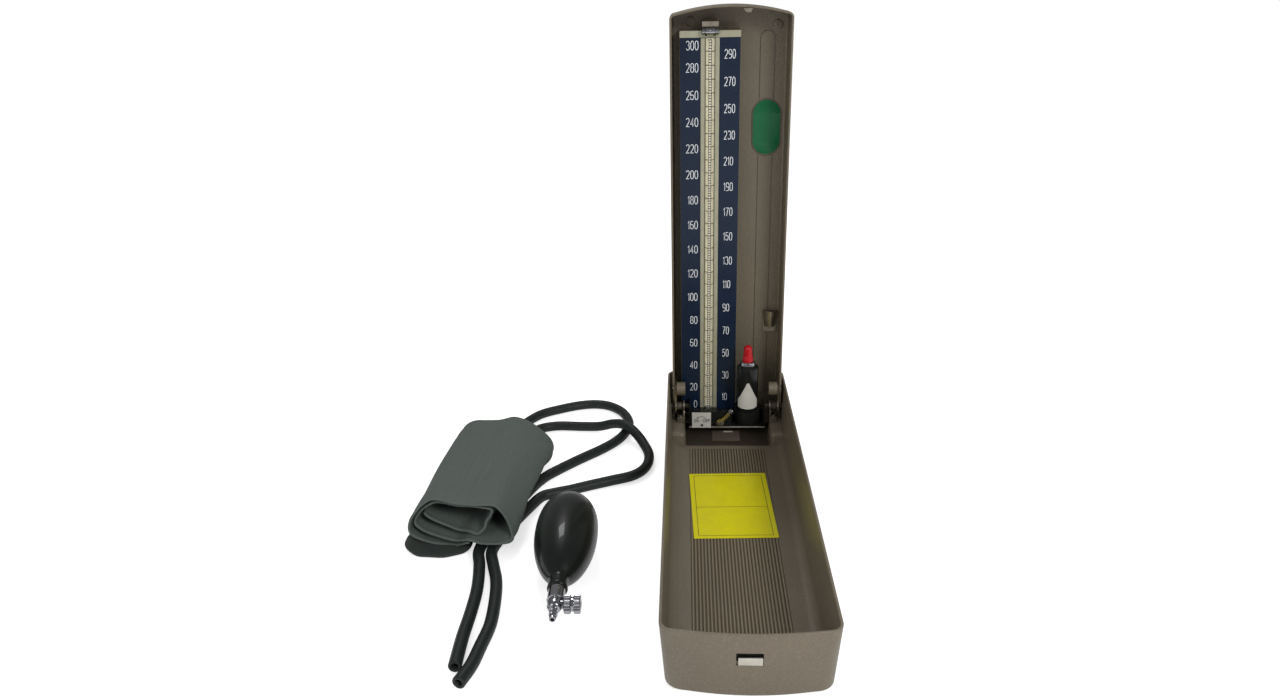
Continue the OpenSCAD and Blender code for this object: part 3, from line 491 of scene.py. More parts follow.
def smooth_line(points, step=1.5):
    """Curve through the points, with a new point about every step."""
    p = with_ends([(*q, HOSE_LOW)[:3] for q in points])
    parts = []
    for a, b, c, d in zip(p[:-3], p[1:-2], p[2:-1], p[3:]):
        t = np.linspace(0, 1, max(2, round(np.linalg.norm(c - b) / step)), endpoint=False)[:, None]
        parts.append(cubic(a, b, c, d, t))
    return np.vstack([*parts, p[-2:-1]])


def tube(name, line, radius, bore, body, finish, steps=24):
    """Hose along a line: a ring square to it at each point, with an open bore one diameter deep at its far end."""
    ahead = unit(np.gradient(line, axis=0))
    side = unit(np.cross(ahead, (0, 0, 1.0)))
    over = np.cross(side, ahead)
    angle = np.linspace(0, 2 * pi, steps, endpoint=False)[None, :, None]
    spokes = side[:, None] * np.cos(angle) + over[:, None] * np.sin(angle)
    rings = line[:, None] + radius * spokes
    lip = 0.5
    ends = [
        line[-1] + ahead[-1] * s + r * spokes[-1]
        for r, s in ((radius - 0.15, lip * 0.7), (radius - lip, lip), (bore + lip, lip), (bore, 0), (bore, -2 * radius))
    ]
    return loft(name, np.concatenate([rings, ends]), body, finish, smooth=50)


LINES = {name: smooth_line(points) for name, points in (("hose_a", HOSE_A), ("hose_b", HOSE_B))}
for node, line in LINES.items():
    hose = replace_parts(tube(node + "_rubber", line, HOSE_RADIUS, HOSE_BORE, "cuff_set", "hose_rubber"), node)

# --- case -------------------------------------------------------------------

case_low, case_high = box_mm("base_case")
CASE_WIDTH, CASE_HEIGHT = case_high[0] - case_low[0], case_high[2]
FRONT, REAR = case_low[1], case_high[1]
CASE_WALL, FLOOR, CASE_DRAFT, SIDE_DRAFT = 1.8, 2.4, 1.0, 2.0
END_BOW, CORNER, FOOT_ROUND, FLOOR_ROUND = 3.6, 8.0, 3.0, 6.0
RIM_ROUND = 0.7
FOOT_CORNERS, INNER_CORNERS = 1.5, -1.0  # corner radius gained for each millimetre drawn in


def case_plan(inset, side, gain):
    """Plan of the case drawn in by inset all round and by side at the sides: round corners, and ends that bow out
    as the square of the distance from the middle."""
    w, c = CASE_WIDTH / 2 - inset - side, max(CORNER + gain * inset, 1)
    front, rear = FRONT + inset, REAR - inset
    bow = np.linspace(-1, 1, 27)[1:-1]
    across = bow * (w - c)
    return np.concatenate([
        arc((-w + c, front + END_BOW + c), c, 180), np.column_stack([across, front + END_BOW * bow**2]),
        arc((w - c, front + END_BOW + c), c, 270), arc((w - c, rear - END_BOW - c), c, 0),
        np.column_stack([-across, rear - END_BOW * bow**2]), arc((-w + c, rear - END_BOW - c), c, 90),
    ])


def case_ring(inset, z, gain=INNER_CORNERS):
    """The plan at height z, its walls leaning out towards the rim."""
    lean = 1 - z / CASE_HEIGHT
    plan = case_plan(inset + CASE_DRAFT * lean, SIDE_DRAFT * lean, gain)
    return np.column_stack([plan, np.full(len(plan), z)])


WALL_LEVELS = (14, 26)  # heights of the rings between foot and rim
ROUNDING = [(1 - cos(a), 1 - sin(a)) for a in np.radians(np.linspace(0, 90, 9))]  # a quarter round of radius one
case_rings = [case_ring(FOOT_ROUND * t, FOOT_ROUND * s, FOOT_CORNERS) for s, t in ROUNDING]
case_rings += [case_ring(0, z, FOOT_CORNERS) for z in (*WALL_LEVELS, CASE_HEIGHT - RIM_ROUND)]
case_rings += [case_ring(RIM_ROUND * s, CASE_HEIGHT - RIM_ROUND * t) for s, t in ROUNDING[2::2]]
case_rings += [case_ring(CASE_WALL - RIM_ROUND * t, CASE_HEIGHT - RIM_ROUND * s) for s, t in ROUNDING[::2]]
case_rings += [case_ring(CASE_WALL, z) for z in WALL_LEVELS[::-1]]
case_rings += [case_ring(CASE_WALL + FLOOR_ROUND * s, FLOOR + FLOOR_ROUND * t) for s, t in ROUNDING]
case = loft("case_shell", case_rings, "base", "case_paint", smooth=40)

# The latch button's slot and a near-black sheet behind it that paints the shade inside the slot: x, distance from the
# front end, z
SLOT = ((-8, 6.5), (-5, 8), (21.7, 29.7))
SLOT_SHADE = ((-9.5, 8), (2.5, 2.8), (23.1, 31))
slot_box, slot_shade_box = ([(x, FRONT + y, z) for x, y, z in zip(*box)] for box in (SLOT, SLOT_SHADE))
cut(case, loft("slot_tool", rounded_box(*slot_box, 0.6), "base", "case_paint"))
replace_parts(case, "base_case")
loft("slot_painted_shade", rounded_box(*slot_shade_box, 0.1, 2), "base", "painted_slot_shade")

RIBS, RIB_PITCH, RIB_WIDTH, RIB_HEIGHT, RIB_MIDDLE = 27, 2.2, 1.3, 0.6, -1.2
RIB_ENDS = (FRONT + 18, 104)
RIB_SUNK, SHADE_RISE, SHADE_MARGIN = 0.4, 0.05, 0.3


def floor_ribs():
    """Low half-round ribs along the floor, in a lighter paint that stands for the light along their tops: one arched
    section, repeated across at the pitch.
    """
    arch = arc((0, 0), RIB_WIDTH / 2, 180, -180, 6) * (1, 2 * RIB_HEIGHT / RIB_WIDTH)
    section = np.vstack([(-RIB_WIDTH / 2, -RIB_SUNK), arch, (RIB_WIDTH / 2, -RIB_SUNK)])
    middles = RIB_MIDDLE + (np.arange(RIBS) - (RIBS - 1) / 2) * RIB_PITCH
    n = len(section)
    x = middles[:, None, None] + section[None, None, :, 0]
    y = np.array(RIB_ENDS, float)[None, :, None]
    z = FLOOR + section[None, None, :, 1]
    points = np.stack(np.broadcast_arrays(x, y, z), axis=-1).reshape(-1, 3)
    one = [*grid_faces(2, n).tolist(), *end_faces(2, n)]
    faces = [[v + 2 * n * r for v in face] for r in range(RIBS) for face in one]
    return solid("floor_ribs", points, faces, "base", "rib_painted_light", smooth=60)


floor_ribs()
RIB_REACH = RIBS * RIB_PITCH / 2
# a dark sheet under the ribs paints the shade in the gaps between them
shade_low = (RIB_MIDDLE - RIB_REACH, RIB_ENDS[0] - SHADE_MARGIN, FLOOR - RIB_SUNK)
shade_high = (RIB_MIDDLE + RIB_REACH, RIB_ENDS[1] + SHADE_MARGIN, FLOOR + SHADE_RISE)
loft("rib_gap_shade", rounded_box(shade_low, shade_high, 0.1, 2), "base", "rib_shade")

POST_IN, POST_FRONT, POST_REAR, POST_FOOT, POST_TOP, POST_ROUND = 34.4, 110.8, 142, FLOOR - 0.5, 13.0, 3.4
for name, side in (("post_left", -1), ("post_right", 1)):
    x0, x1 = sorted((side * POST_IN, side * (CASE_WIDTH / 2 - CASE_WALL)))
    post = rounded_box((x0, POST_FRONT, POST_FOOT), (x1, POST_REAR, POST_TOP), POST_ROUND)
    loft(name, post, "base", "case_paint")

# --- lid --------------------------------------------------------------------

lid_low, lid_high = box_mm("lid_shell")
LID_HALF, LID_FOOT, LID_TOP = lid_high[0], lid_low[2], lid_high[2]
LID_RIM, LID_BACK = lid_low[1], lid_high[1]
LID_WALL, LID_BOW, CROWN_CORNER, FOOT_CORNER = 1.6, 5.4, 4.0, 6.0
BACK_ROUND, INNER_ROUND, LID_RIM_ROUND = 4.0, 1.6, 0.6
PANEL = LID_BACK - LID_WALL


def lid_face(inset):
    """Front view of the lid drawn in all round: a crown bowed as the square of the distance, round corners."""
    w, top, low = LID_HALF - inset, LID_TOP - inset, LID_FOOT + inset
    c, e = max(CROWN_CORNER - inset, 0.5), max(FOOT_CORNER - inset, 1)
    bow = np.linspace(1, -1, 31)[1:-1]
    return np.concatenate([
        arc((w - c, top - LID_BOW - c), c, 0), np.column_stack([bow * (w - c), top - LID_BOW * bow**2]),
        arc((-w + c, top - LID_BOW - c), c, 90), arc((-w + e, low + e), e, 180), arc((w - e, low + e), e, 270),
    ])


RIM_DEPTH = 12  # depth behind the rim of the ring that keeps the wall straight
lid_rings = [upright(lid_face(BACK_ROUND * s), LID_BACK - BACK_ROUND * t) for s, t in ROUNDING[::-1]]
lid_rings += [upright(lid_face(0), y) for y in (LID_RIM + RIM_DEPTH, LID_RIM + LID_RIM_ROUND)]
lid_rings += [upright(lid_face(LID_RIM_ROUND * s), LID_RIM + LID_RIM_ROUND * t) for s, t in ROUNDING[2::2]]
lid_rings += [upright(lid_face(LID_WALL - LID_RIM_ROUND * t), LID_RIM + LID_RIM_ROUND * s) for s, t in ROUNDING[::2]]
lid_rings += [upright(lid_face(LID_WALL), LID_RIM + RIM_DEPTH)]
lid_rings += [upright(lid_face(LID_WALL + INNER_ROUND * s), PANEL - INNER_ROUND * t) for s, t in ROUNDING]
lid = loft("lid_skin", lid_rings, "lid", "lid_paint", smooth=40)

GROOVE_DEPTH = 0.8
GROOVES = [(28.2, 171.5, 11.8, 295.0, 0.8), (28.7, 247.7, 23.2, 43.6, 0.6)]  # middle x and z, width, height, line
for x, z, width, height, line in GROOVES:
    groove_rings = [
        upright(capsule(width - 2 * inset, height - 2 * inset, x, z), PANEL + depth)
        for inset, depth in ((0, -1), (0, GROOVE_DEPTH), (line, GROOVE_DEPTH), (line, -1))
    ]
    cut(lid, loft("groove_tool", groove_rings, "lid", "lid_paint", hollow=True))
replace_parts(lid, "lid_shell")

# --- parts that keep the CAD's shape ----------------------------------------

DRESSED = {
    # the floor pad's finish paints the shade beneath the chassis
    "floor_label": ("yellow_label", 0), "floor_pad": ("black_sheet", 0.4), "nameplate": ("bronze_plate", 0.12),
    "hinge_bracket_left": ("plated_steel", 0.3), "hinge_bracket_right": ("plated_steel", 0.3),
    "hinge_pins": ("pin_steel", 0.3), "bracket_screws": ("chrome", 0.3), "latch_button": ("bright_steel", 0.3),
    "latch_spring": ("plated_steel", 0.15), "latch_rivet": ("plated_steel", 0.3), "lid_badge": ("green_badge", 0.25),
    "lid_bumpers": ("lid_paint", 0.5), "latch_hook": ("plated_steel", 0.3), "pocket_clip": ("plated_steel", 0.3),
    "hinge_plate_left": ("plated_steel", 0.3), "hinge_plate_right": ("plated_steel", 0.3),
    "plate_rivets": ("plated_steel", 0.3), "stay_curl_left": ("lid_paint", 0.4), "stay_curl_right": ("lid_paint", 0.4),
    "chassis": ("black_enamel", 0.25), "scale_housing": ("lid_paint", 0.4), "scale_plate_left": ("navy_plate", 0.15),
    "scale_plate_right": ("navy_plate", 0.15), "scale_backing": ("ivory_card", 0),
    "side_strips": ("aluminium_strip", 0.5), "glass_tube": ("clear_glass", 0.1),
    "mercury_column": ("mercury", 0.4), "top_bezel": ("aluminium_strip", 0.6),
    "tube_vent_plug": ("black_enamel", 0.3), "tube_clip": ("plated_steel", 0.5),
    "tube_foot": ("black_enamel", 0.4), "tap_block": ("black_enamel", 0.5), "tap_spindle": ("brass", 0.2),
    "on_off_plate": ("white_plate", 0.12), "reservoir_foot": ("black_enamel", 0.8),
    "reservoir_body": ("black_enamel", 0.8),
    "reservoir_decal": ("white_plate", 0), "reservoir_ring": ("chrome", 0.5), "reservoir_nozzle": ("ivory_card", 0.3),
    "tap_lever": ("brass", 0.3), "tap_screw": ("chrome", 0.15), "nozzle_cap": ("red_cap", 0.5),
    "bulb_inlet": ("chrome", 0.2),
}
for node, (finish, rounding) in DRESSED.items():
    dressed(node, finish, rounding)

cradle_low, cradle_high = box_mm("chassis")
plate_low, plate_high = box_mm("nameplate")
EDGE_PROUD, EDGE_SUNK, EDGE_HEIGHT = 0.2, 0.1, 1.1  # bright strip that paints the highlight on the cradle's lower edge
edge_low = (cradle_low[0], cradle_low[1] - EDGE_PROUD, cradle_low[2] - EDGE_SUNK)
edge_high = (cradle_high[0], cradle_low[1] + EDGE_SUNK, cradle_low[2] + EDGE_HEIGHT)
loft("cradle_painted_highlight", rounded_box(edge_low, edge_high, 0.2, 2), "lid", "bright_steel")
STRIP_X, STRIP_Y, STRIP_THICK = (9.5, 17), (2.6, 0.8), 0.12  # pale strip, from the nameplate's left and far edges
strip_low = (plate_low[0] + STRIP_X[0], plate_high[1] - STRIP_Y[0], plate_high[2])
strip_high = (plate_low[0] + STRIP_X[1], plate_high[1] - STRIP_Y[1], plate_high[2] + STRIP_THICK)
loft("plate_strip", rounded_box(strip_low, strip_high, 0.1, 2), "base", "ivory_print")

# --- printing on the scale --------------------------------------------------

UNIT, ZERO = 0.9833, 20.8  # millimetres of scale for each unit, height of its zero
PRINT = 0.05  # thickness of printed ink


def letters(name, words, at, body, ink, weight=0.012):
    """Words as thin raised ink: each (text, middle x, middle z, width, height) is scaled to its box.
    at carries a point (x, z, raised) of the print to its place."""
    points, faces = [], []
    for text, x, z, width, height in words:
        data = bpy.data.curves.new("words", "FONT")
        data.body, data.extrude, data.offset, data.resolution_u = text, 0.5, weight, 3
        shape = bpy.data.objects.new("words", data)
        mesh = bpy.data.meshes.new_from_object(shape)
        own = np.zeros(len(mesh.vertices) * 3)
        mesh.vertices.foreach_get("co", own)
        own = own.reshape(-1, 3)
        low, high = own.min(axis=0), own.max(axis=0)
        own = (own - (low + high) / 2) / (high - low) * (width, height, PRINT)
        first = sum(len(p) for p in points)
        points.append(at(own[:, 0] + x, own[:, 1] + z, own[:, 2] + PRINT / 2))
        faces += [[first + v for v in polygon.vertices] for polygon in mesh.polygons]
        bpy.data.objects.remove(shape)
        bpy.data.curves.remove(data)
    return solid(name, np.vstack(points), faces, body, ink)


def bars(name, boxes, at, body, ink):
    """Printed bars as thin raised blocks, each (x0, x1, z0, z1)."""
    boxes = np.array(boxes, float)
    corner = np.array([[0, 2, 0], [1, 2, 0], [1, 3, 0], [0, 3, 0], [0, 2, 1], [1, 2, 1], [1, 3, 1], [0, 3, 1]])
    x, z = boxes[:, corner[:, 0]].ravel(), boxes[:, corner[:, 1]].ravel()
    raised = np.tile(corner[:, 2] * PRINT, len(boxes))
    block = np.array([[0, 1, 2, 3], [7, 6, 5, 4], [4, 5, 1, 0], [5, 6, 2, 1], [6, 7, 3, 2], [7, 4, 0, 3]])
    faces = (block[None] + 8 * np.arange(len(boxes))[:, None, None]).reshape(-1, 4)
    return solid(name, at(x, z, raised), faces, body, ink)


def facing(y):
    """Print on an upright face at depth y: x and z stay, ink rises towards the viewer."""
    return lambda x, z, raised: np.column_stack([x, y - raised, z])


def round_tube(x0, y0, radius):
    """Print on the front of an upright round: x is wrapped as an arc length about the middle line."""
    return lambda x, z, raised: np.column_stack([
        x0 + (radius + raised) * np.sin(x / radius), y0 - (radius + raised) * np.cos(x / radius), z
    ])


STROKE, DIGIT_HEIGHT, DIGIT_WIDTH, ONE_WIDTH, DIGIT_GAP = 0.42, 6.6, 2.65, 1.4, 0.55


def bowl(x, z, wide, high, start, turn, steps=14):
    """Points along a squared-off ellipse about a point, from an angle through a turn, in degrees."""
    a = np.radians(np.linspace(start, start + turn, steps + 1))
    c, s = np.cos(a), np.sin(a)
    return np.column_stack([x + wide * np.sign(c) * np.abs(c) ** 0.8, z + high * np.sign(s) * np.abs(s) ** 0.8])


# Strokes of each figure in a square of one, each as (points, closed)
FIGURES = {
    "0": [(bowl(0.5, 0.5, 0.5, 0.5, 0, 350, 27), True)],
    "1": [([(0, 0.76), (0.35, 0.82), (0.85, 1), (0.85, 0)], False)],
    "2": [([*bowl(0.5, 0.72, 0.47, 0.28, 165, -190), (0, 0), (1, 0)], False)],
    "3": [(bowl(0.47, 0.755, 0.45, 0.245, 160, -245), False), (bowl(0.5, 0.27, 0.5, 0.27, 85, -245), False)],
    "4": [([(0.74, 0), (0.74, 1), (0, 0.27), (1, 0.27)], False)],
    "5": [([(0.93, 1), (0.14, 1), (0.06, 0.5), *bowl(0.5, 0.32, 0.5, 0.32, 125, -285)], False)],
    "6": [([*bowl(0.5, 0.7, 0.5, 0.3, 50, 130, 8), (0, 0.28)], False), (bowl(0.5, 0.28, 0.5, 0.28, 0, 350, 27), True)],
    "7": [([(0, 1), (1, 1), (0.55, 0.5), (0.35, 0)], False)],
    "8": [(bowl(0.5, 0.76, 0.44, 0.24, 0, 350, 27), True), (bowl(0.5, 0.26, 0.5, 0.26, 0, 350, 27), True)],
}
FIGURES["9"] = [(1 - np.array(points), closed) for points, closed in FIGURES["6"]]


def ribbon(points, closed, width):
    """Four-cornered sections along a printed stroke: half its width to either side of the path, low and high."""
    p = np.array(points, float)
    before, after = np.roll(p, 1, 0), np.roll(p, -1, 0)
    if not closed:
        before[0], after[-1] = p[0], p[-1]
    one, two = p - before, after - p
    one[(one**2).sum(axis=1) == 0] = two[(one**2).sum(axis=1) == 0]
    two[(two**2).sum(axis=1) == 0] = one[(two**2).sum(axis=1) == 0]
    one, two = unit(one), unit(two)
    mitre = unit(one + two)
    reach = width / 2 / np.maximum((mitre * one).sum(axis=1), 0.5)[:, None]
    side = np.column_stack([-mitre[:, 1], mitre[:, 0]]) * reach
    left, right = p + side, p - side
    return np.stack([left, right, right, left], axis=1)


def figures(name, numbers, squeeze, at, body, ink):
    """Numbers drawn stroke by stroke, their widths squeezed by a factor: each (text, left x, middle z) becomes thin
    raised ribbons."""
    points, faces, first = [], [], 0
    for text, x, z in numbers:
        for letter in text:
            wide = squeeze * (ONE_WIDTH if letter == "1" else DIGIT_WIDTH)
            size = np.array((wide - STROKE, DIGIT_HEIGHT - STROKE))
            for path, closed in FIGURES[letter]:
                own = np.array(path) * size + (x + STROKE / 2, z - size[1] / 2)
                section = ribbon(own, closed, STROKE)
                rows = len(section)
                raised = np.tile([0, 0, PRINT, PRINT], rows)
                points.append(at(section[..., 0].ravel(), section[..., 1].ravel(), raised))
                skin = grid_faces(rows, 4, wrap_rows=closed).tolist()
                skin += [] if closed else [[3, 2, 1, 0], [4 * rows - 4 + k for k in range(4)]]
                faces += [[first + v for v in face] for face in skin]
                first += 4 * rows
            x += wide + squeeze * DIGIT_GAP
    return solid(name, np.vstack(points), faces, body, ink)


scale_low, scale_high = box_mm("scale_plate_left")
SCALE_TOP, SCALE_END = scale_high[2], 300
on_scale = facing(scale_low[1])
LEFT_END, RIGHT_START = (-24.3, -23.5), (-3.7, -4.5)  # x of the numbers' edges at the foot and at the top
RIGHT_SQUEEZE = 0.9  # width of the right plate's figures over the left's
# Drop of each number's middle below its mark (the right plate's grows by a second share as the square of the height),
# and the room kept above the lowest numbers' foot and below the plate's top
LEFT_DROP, RIGHT_DROP, RIGHT_MORE, FOOT_ROOM, TOP_ROOM = 1.9, 1.1, 1.3, 2.1, 2
numbers = ([], [])
for value in range(0, SCALE_END + 1, 10):
    share = value / SCALE_END
    width = sum((ONE_WIDTH if letter == "1" else DIGIT_WIDTH) + DIGIT_GAP for letter in str(value)) - DIGIT_GAP
    if value % 20 == 0:
        x, lowered = LEFT_END[0] + share * (LEFT_END[1] - LEFT_END[0]) - width, LEFT_DROP
    else:
        x, lowered = RIGHT_START[0] + share * (RIGHT_START[1] - RIGHT_START[0]), RIGHT_DROP + RIGHT_MORE * share**2
    z = min(ZERO + UNIT * value - lowered, SCALE_TOP - DIGIT_HEIGHT / 2 - TOP_ROOM)
    numbers[value // 10 % 2].append((str(value), x, max(z, ZERO + FOOT_ROOM)))
figures("left_numbers", numbers[0], 1, on_scale, "lid", "white")
figures("right_numbers", numbers[1], RIGHT_SQUEEZE, on_scale, "lid", "white")

cap_low, cap_high = box_mm("tube_cap")
SPOOL = [
    (0, -6.2), (2.1, -6.2), (2.6, -5.8), (2.6, -4.8), (2.1, -4.4), (2.1, -3.6), (2.9, -3.2), (2.9, -0.4), (2.6, 0),
]
spool = [*SPOOL, *[(r, -s) for r, s in SPOOL[-2::-1]]]
SPOOL_FORWARD, SPOOL_RAISED = 2.7, 0.6  # from the cap's back and from its middle height
cap_middle = (cap_low + cap_high) / 2
spool_place = (cap_middle[0], cap_high[1] - SPOOL_FORWARD, cap_middle[2] + SPOOL_RAISED)
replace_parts(spin("cap_spool", spool, spool_place, (1, 0, 0), "lid", "chrome", steps=48, smooth=28), "tube_cap")

tube_low, tube_high = box_mm("glass_tube")
TUBE_RADIUS = (tube_high[0] - tube_low[0]) / 2
TUBE_X, TUBE_Y = (tube_low[0] + tube_high[0]) / 2, (tube_low[1] + tube_high[1]) / 2
on_tube = round_tube(TUBE_X, TUBE_Y, TUBE_RADIUS + 0.02)
SHORT_MARK, LONG_MARK, MARK = 1.0, 4.4, 0.6  # half widths of the marks, and their height
BORE_EDGE_OUT, BORE_EDGE_HALF, BORE_EDGE_SHORT = 1.0, 0.22, 0.8  # the two upright dark lines that paint the bore's edges as they look through the glass
ENAMEL, ENAMEL_SHORT = (0.1, 0.3), 0.4  # depths of the white backing's faces inside the tube's surface
marks = []
for value in range(0, SCALE_END + 1, 2):
    z, half = ZERO + UNIT * value, LONG_MARK if value % 10 == 0 else SHORT_MARK
    edges = np.linspace(-half, half, 7 if half > SHORT_MARK else 3)
    if z + 1 < SCALE_TOP:
        marks += [(a, b, z - MARK / 2, z + MARK / 2) for a, b in zip(edges[:-1], edges[1:])]
bore_edges = [(x - BORE_EDGE_HALF, x + BORE_EDGE_HALF, ZERO, SCALE_TOP - BORE_EDGE_SHORT) for x in (-BORE_EDGE_OUT, BORE_EDGE_OUT)]
bars("tube_marks", marks, on_tube, "lid", "black")
bars("tube_painted_bore_edges", bore_edges, on_tube, "lid", "black")
enamel = curved_strip((TUBE_X, TUBE_Y), TUBE_RADIUS - ENAMEL[1], TUBE_RADIUS - ENAMEL[0], 0, 180, 24)
enamel_rings = [np.column_stack([enamel, np.full(len(enamel), z)]) for z in (ZERO, SCALE_TOP - ENAMEL_SHORT)]
loft("tube_enamel", enamel_rings, "lid", "ivory_card")

# --- printing on the signs --------------------------------------------------

sign_low, sign_high = box_mm("on_off_plate")
sign_x, sign_z = (sign_low[0] + sign_high[0]) / 2, (sign_low[2] + sign_high[2]) / 2
on_sign = facing(sign_low[1])
WORDS = [("ON", -4.2, -0.4, 4.2, 3), ("OFF", 3.9, -0.4, 5.6, 3)]  # text, x and z from the middle, width, height
words = [(text, sign_x + x, sign_z + z, *size) for text, x, z, *size in WORDS]
letters("sign_words", words, on_sign, "lid", "black")


def printed(name, outlines, at, body, ink):
    """Flat printed shapes, each the outline of one thin block."""
    points, faces = [], []
    for outline in outlines:
        n, first = len(outline), sum(len(p) for p in points)
        x, z = np.tile(outline, (2, 1)).T
        points.append(at(x, z, np.repeat([0.0, PRINT], n)))
        own = [*grid_faces(2, n).tolist(), *end_faces(2, n)]
        faces += [[first + v for v in face] for face in own]
    return solid(name, np.vstack(points), faces, body, ink)


dot = arc((sign_x + 0.4, sign_low[2] + 2.3), 1.1, 0, 360, 20)[:-1]
sweep = curved_strip((sign_x, sign_z - 1.2), 4.3, 4.7, 40, 100)
head = np.array([(0, 0), (1.7, 0.5), (0.5, 1.7)]) + (sign_x - 4.1, sign_z + 1.3)
printed("sign_marks", [dot, sweep, head], on_sign, "lid", "black")

label_low, label_high = box_mm("floor_label")
LABEL_SIZE, LABEL_TURN, LABEL_TOP = np.array((57.6, 89.4)), radians(1.8), label_high[2]
label_middle = (label_low + label_high)[:2] / 2


def on_label(x, z, raised):
    """Print on the floor label: its own x and z are turned with it and laid on its top."""
    return np.column_stack([
        label_middle[0] + x * cos(LABEL_TURN) - z * sin(LABEL_TURN),
        label_middle[1] + x * sin(LABEL_TURN) + z * cos(LABEL_TURN),
        LABEL_TOP + raised,
    ])


BORDER, LINE, DIVIDER = 3.2, 0.35, -4.2
bx, bz = LABEL_SIZE / 2 - BORDER
frame_bars = [
    (-bx, bx, bz - LINE, bz), (-bx, bx, -bz, -bz + LINE), (-bx, -bx + LINE, -bz, bz), (bx - LINE, bx, -bz, bz),
    (-bx, bx, DIVIDER, DIVIDER + LINE),
]
bars("label_border", frame_bars, on_label, "base", "black")

# --- cuff -------------------------------------------------------------------

ROLL_LENGTH, ROLL_TOP = 136.0, 40.0
ROLL_PLACE, ROLL_TURN = np.array((-180.5, 29.5)), radians(-3)
CLOTH, CLOTH_HEM, HEM, SEAM_IN = 3.2, 1.9, 9.0, 4.5
TUNNEL_HEIGHT, TUNNEL_HALF, TUNNEL_SLOPE = 8.7, 4.9, 15.0
LIP = 8.0  # how far the near mouth's lower edge reaches forward over the hoses
OUTER_TURN = 20  # points of the wrap's outer turn
# Middle line of the wrap at its near mouth and at its far one: (x, z) from the outer end inwards
MOUTH = [
    (6, 1.4), (-6, 1.6), (-18, 2.4), (-29, 4.4), (-36.2, 8.6), (-37.6, 14), (-35.6, 20.5), (-31, 27), (-26, 33),
    (-19.5, 37.6), (-12.5, 37.6), (-3, 35), (8, 32.3), (17, 32), (22.8, 31), (27, 25.5), (31, 17), (33.8, 9),
    (31.6, 4.6), (25, 2), (15, 1.5), (6, 4.2), (-5, 6.2), (-17, 8.8), (-27.5, 12), (-33.2, 16.5), (-32.6, 21.5),
    (-29, 26.6), (-24, 31), (-17.5, 34.2), (-8, 33.2), (4, 30), (14, 29), (20.5, 27.2), (20, 21.5), (16.8, 16),
    (15, 10.5), (10, 6.6), (3, 9), (-8, 13.2), (-18, 17.2), (-25, 20.8), (-27.8, 24),
]
FAR_MOUTH = [
    (2, 1.4), (-10, 1.5), (-21, 1.8), (-31, 3.5), (-37, 8), (-38, 14), (-37, 20), (-33.5, 26), (-28.5, 30),
    (-22, 31.6), (-14.5, 31.8), (-3.6, 32.8), (7.4, 35.2), (14, 33.5), (19.5, 31), (28, 25), (35.5, 16.5), (37, 9),
    (34, 3.5), (26, 1.5), (15, 1.5), (4, 3.9), (-8, 4.4), (-19, 5.6), (-29, 8), (-33.5, 13), (-33, 19),
    (-29.5, 24), (-24, 27.4), (-16, 28), (-6, 28.8), (5, 30.4), (13, 29.4), (21, 25.5), (28.5, 19), (31, 12.5),
    (28, 7), (18, 5.2), (6, 7.2), (-6, 7.8), (-17, 9), (-26, 12), (-28.5, 17.5),
]


def ease(x):
    """Smooth step from 0 to 1."""
    x = np.clip(x, 0, 1)
    return x * x * (3 - 2 * x)


def catmull(points, t):
    """Points of a smooth curve at the parameters t, counted in control points."""
    p = with_ends(points)
    i = np.clip(t.astype(int), 0, len(points) - 2)
    return cubic(p[i], p[i + 1], p[i + 2], p[i + 3], (t - i)[:, None])


def ripple(u, v, seed, sizes, strength):
    """Creases: a sum of sine waves in chosen directions over the cloth, each as high as its share of its length."""
    random = np.random.default_rng(seed)
    total = np.zeros(np.broadcast(u, v).shape)
    for size in sizes:
        heading, phase = random.uniform(0, pi), random.uniform(0, 2 * pi)
        total += strength * size * np.sin(2 * pi * (u * cos(heading) + v * sin(heading)) / size + phase)
    return total


def near_hoses(x, y):
    """How far each point of the plan lies from the hoses where these run beneath the roll."""
    low = np.vstack([line[(line[:, 2] < HOSE_LOW + 1) & (line[:, 1] < 92)][::2, :2] for line in LINES.values()])
    gap = np.full(x.shape, np.inf)
    for part in np.array_split(low, 12):
        gap = np.minimum(gap, np.hypot(x[..., None] - part[:, 0], y[..., None] - part[:, 1]).min(axis=-1))
    return gap


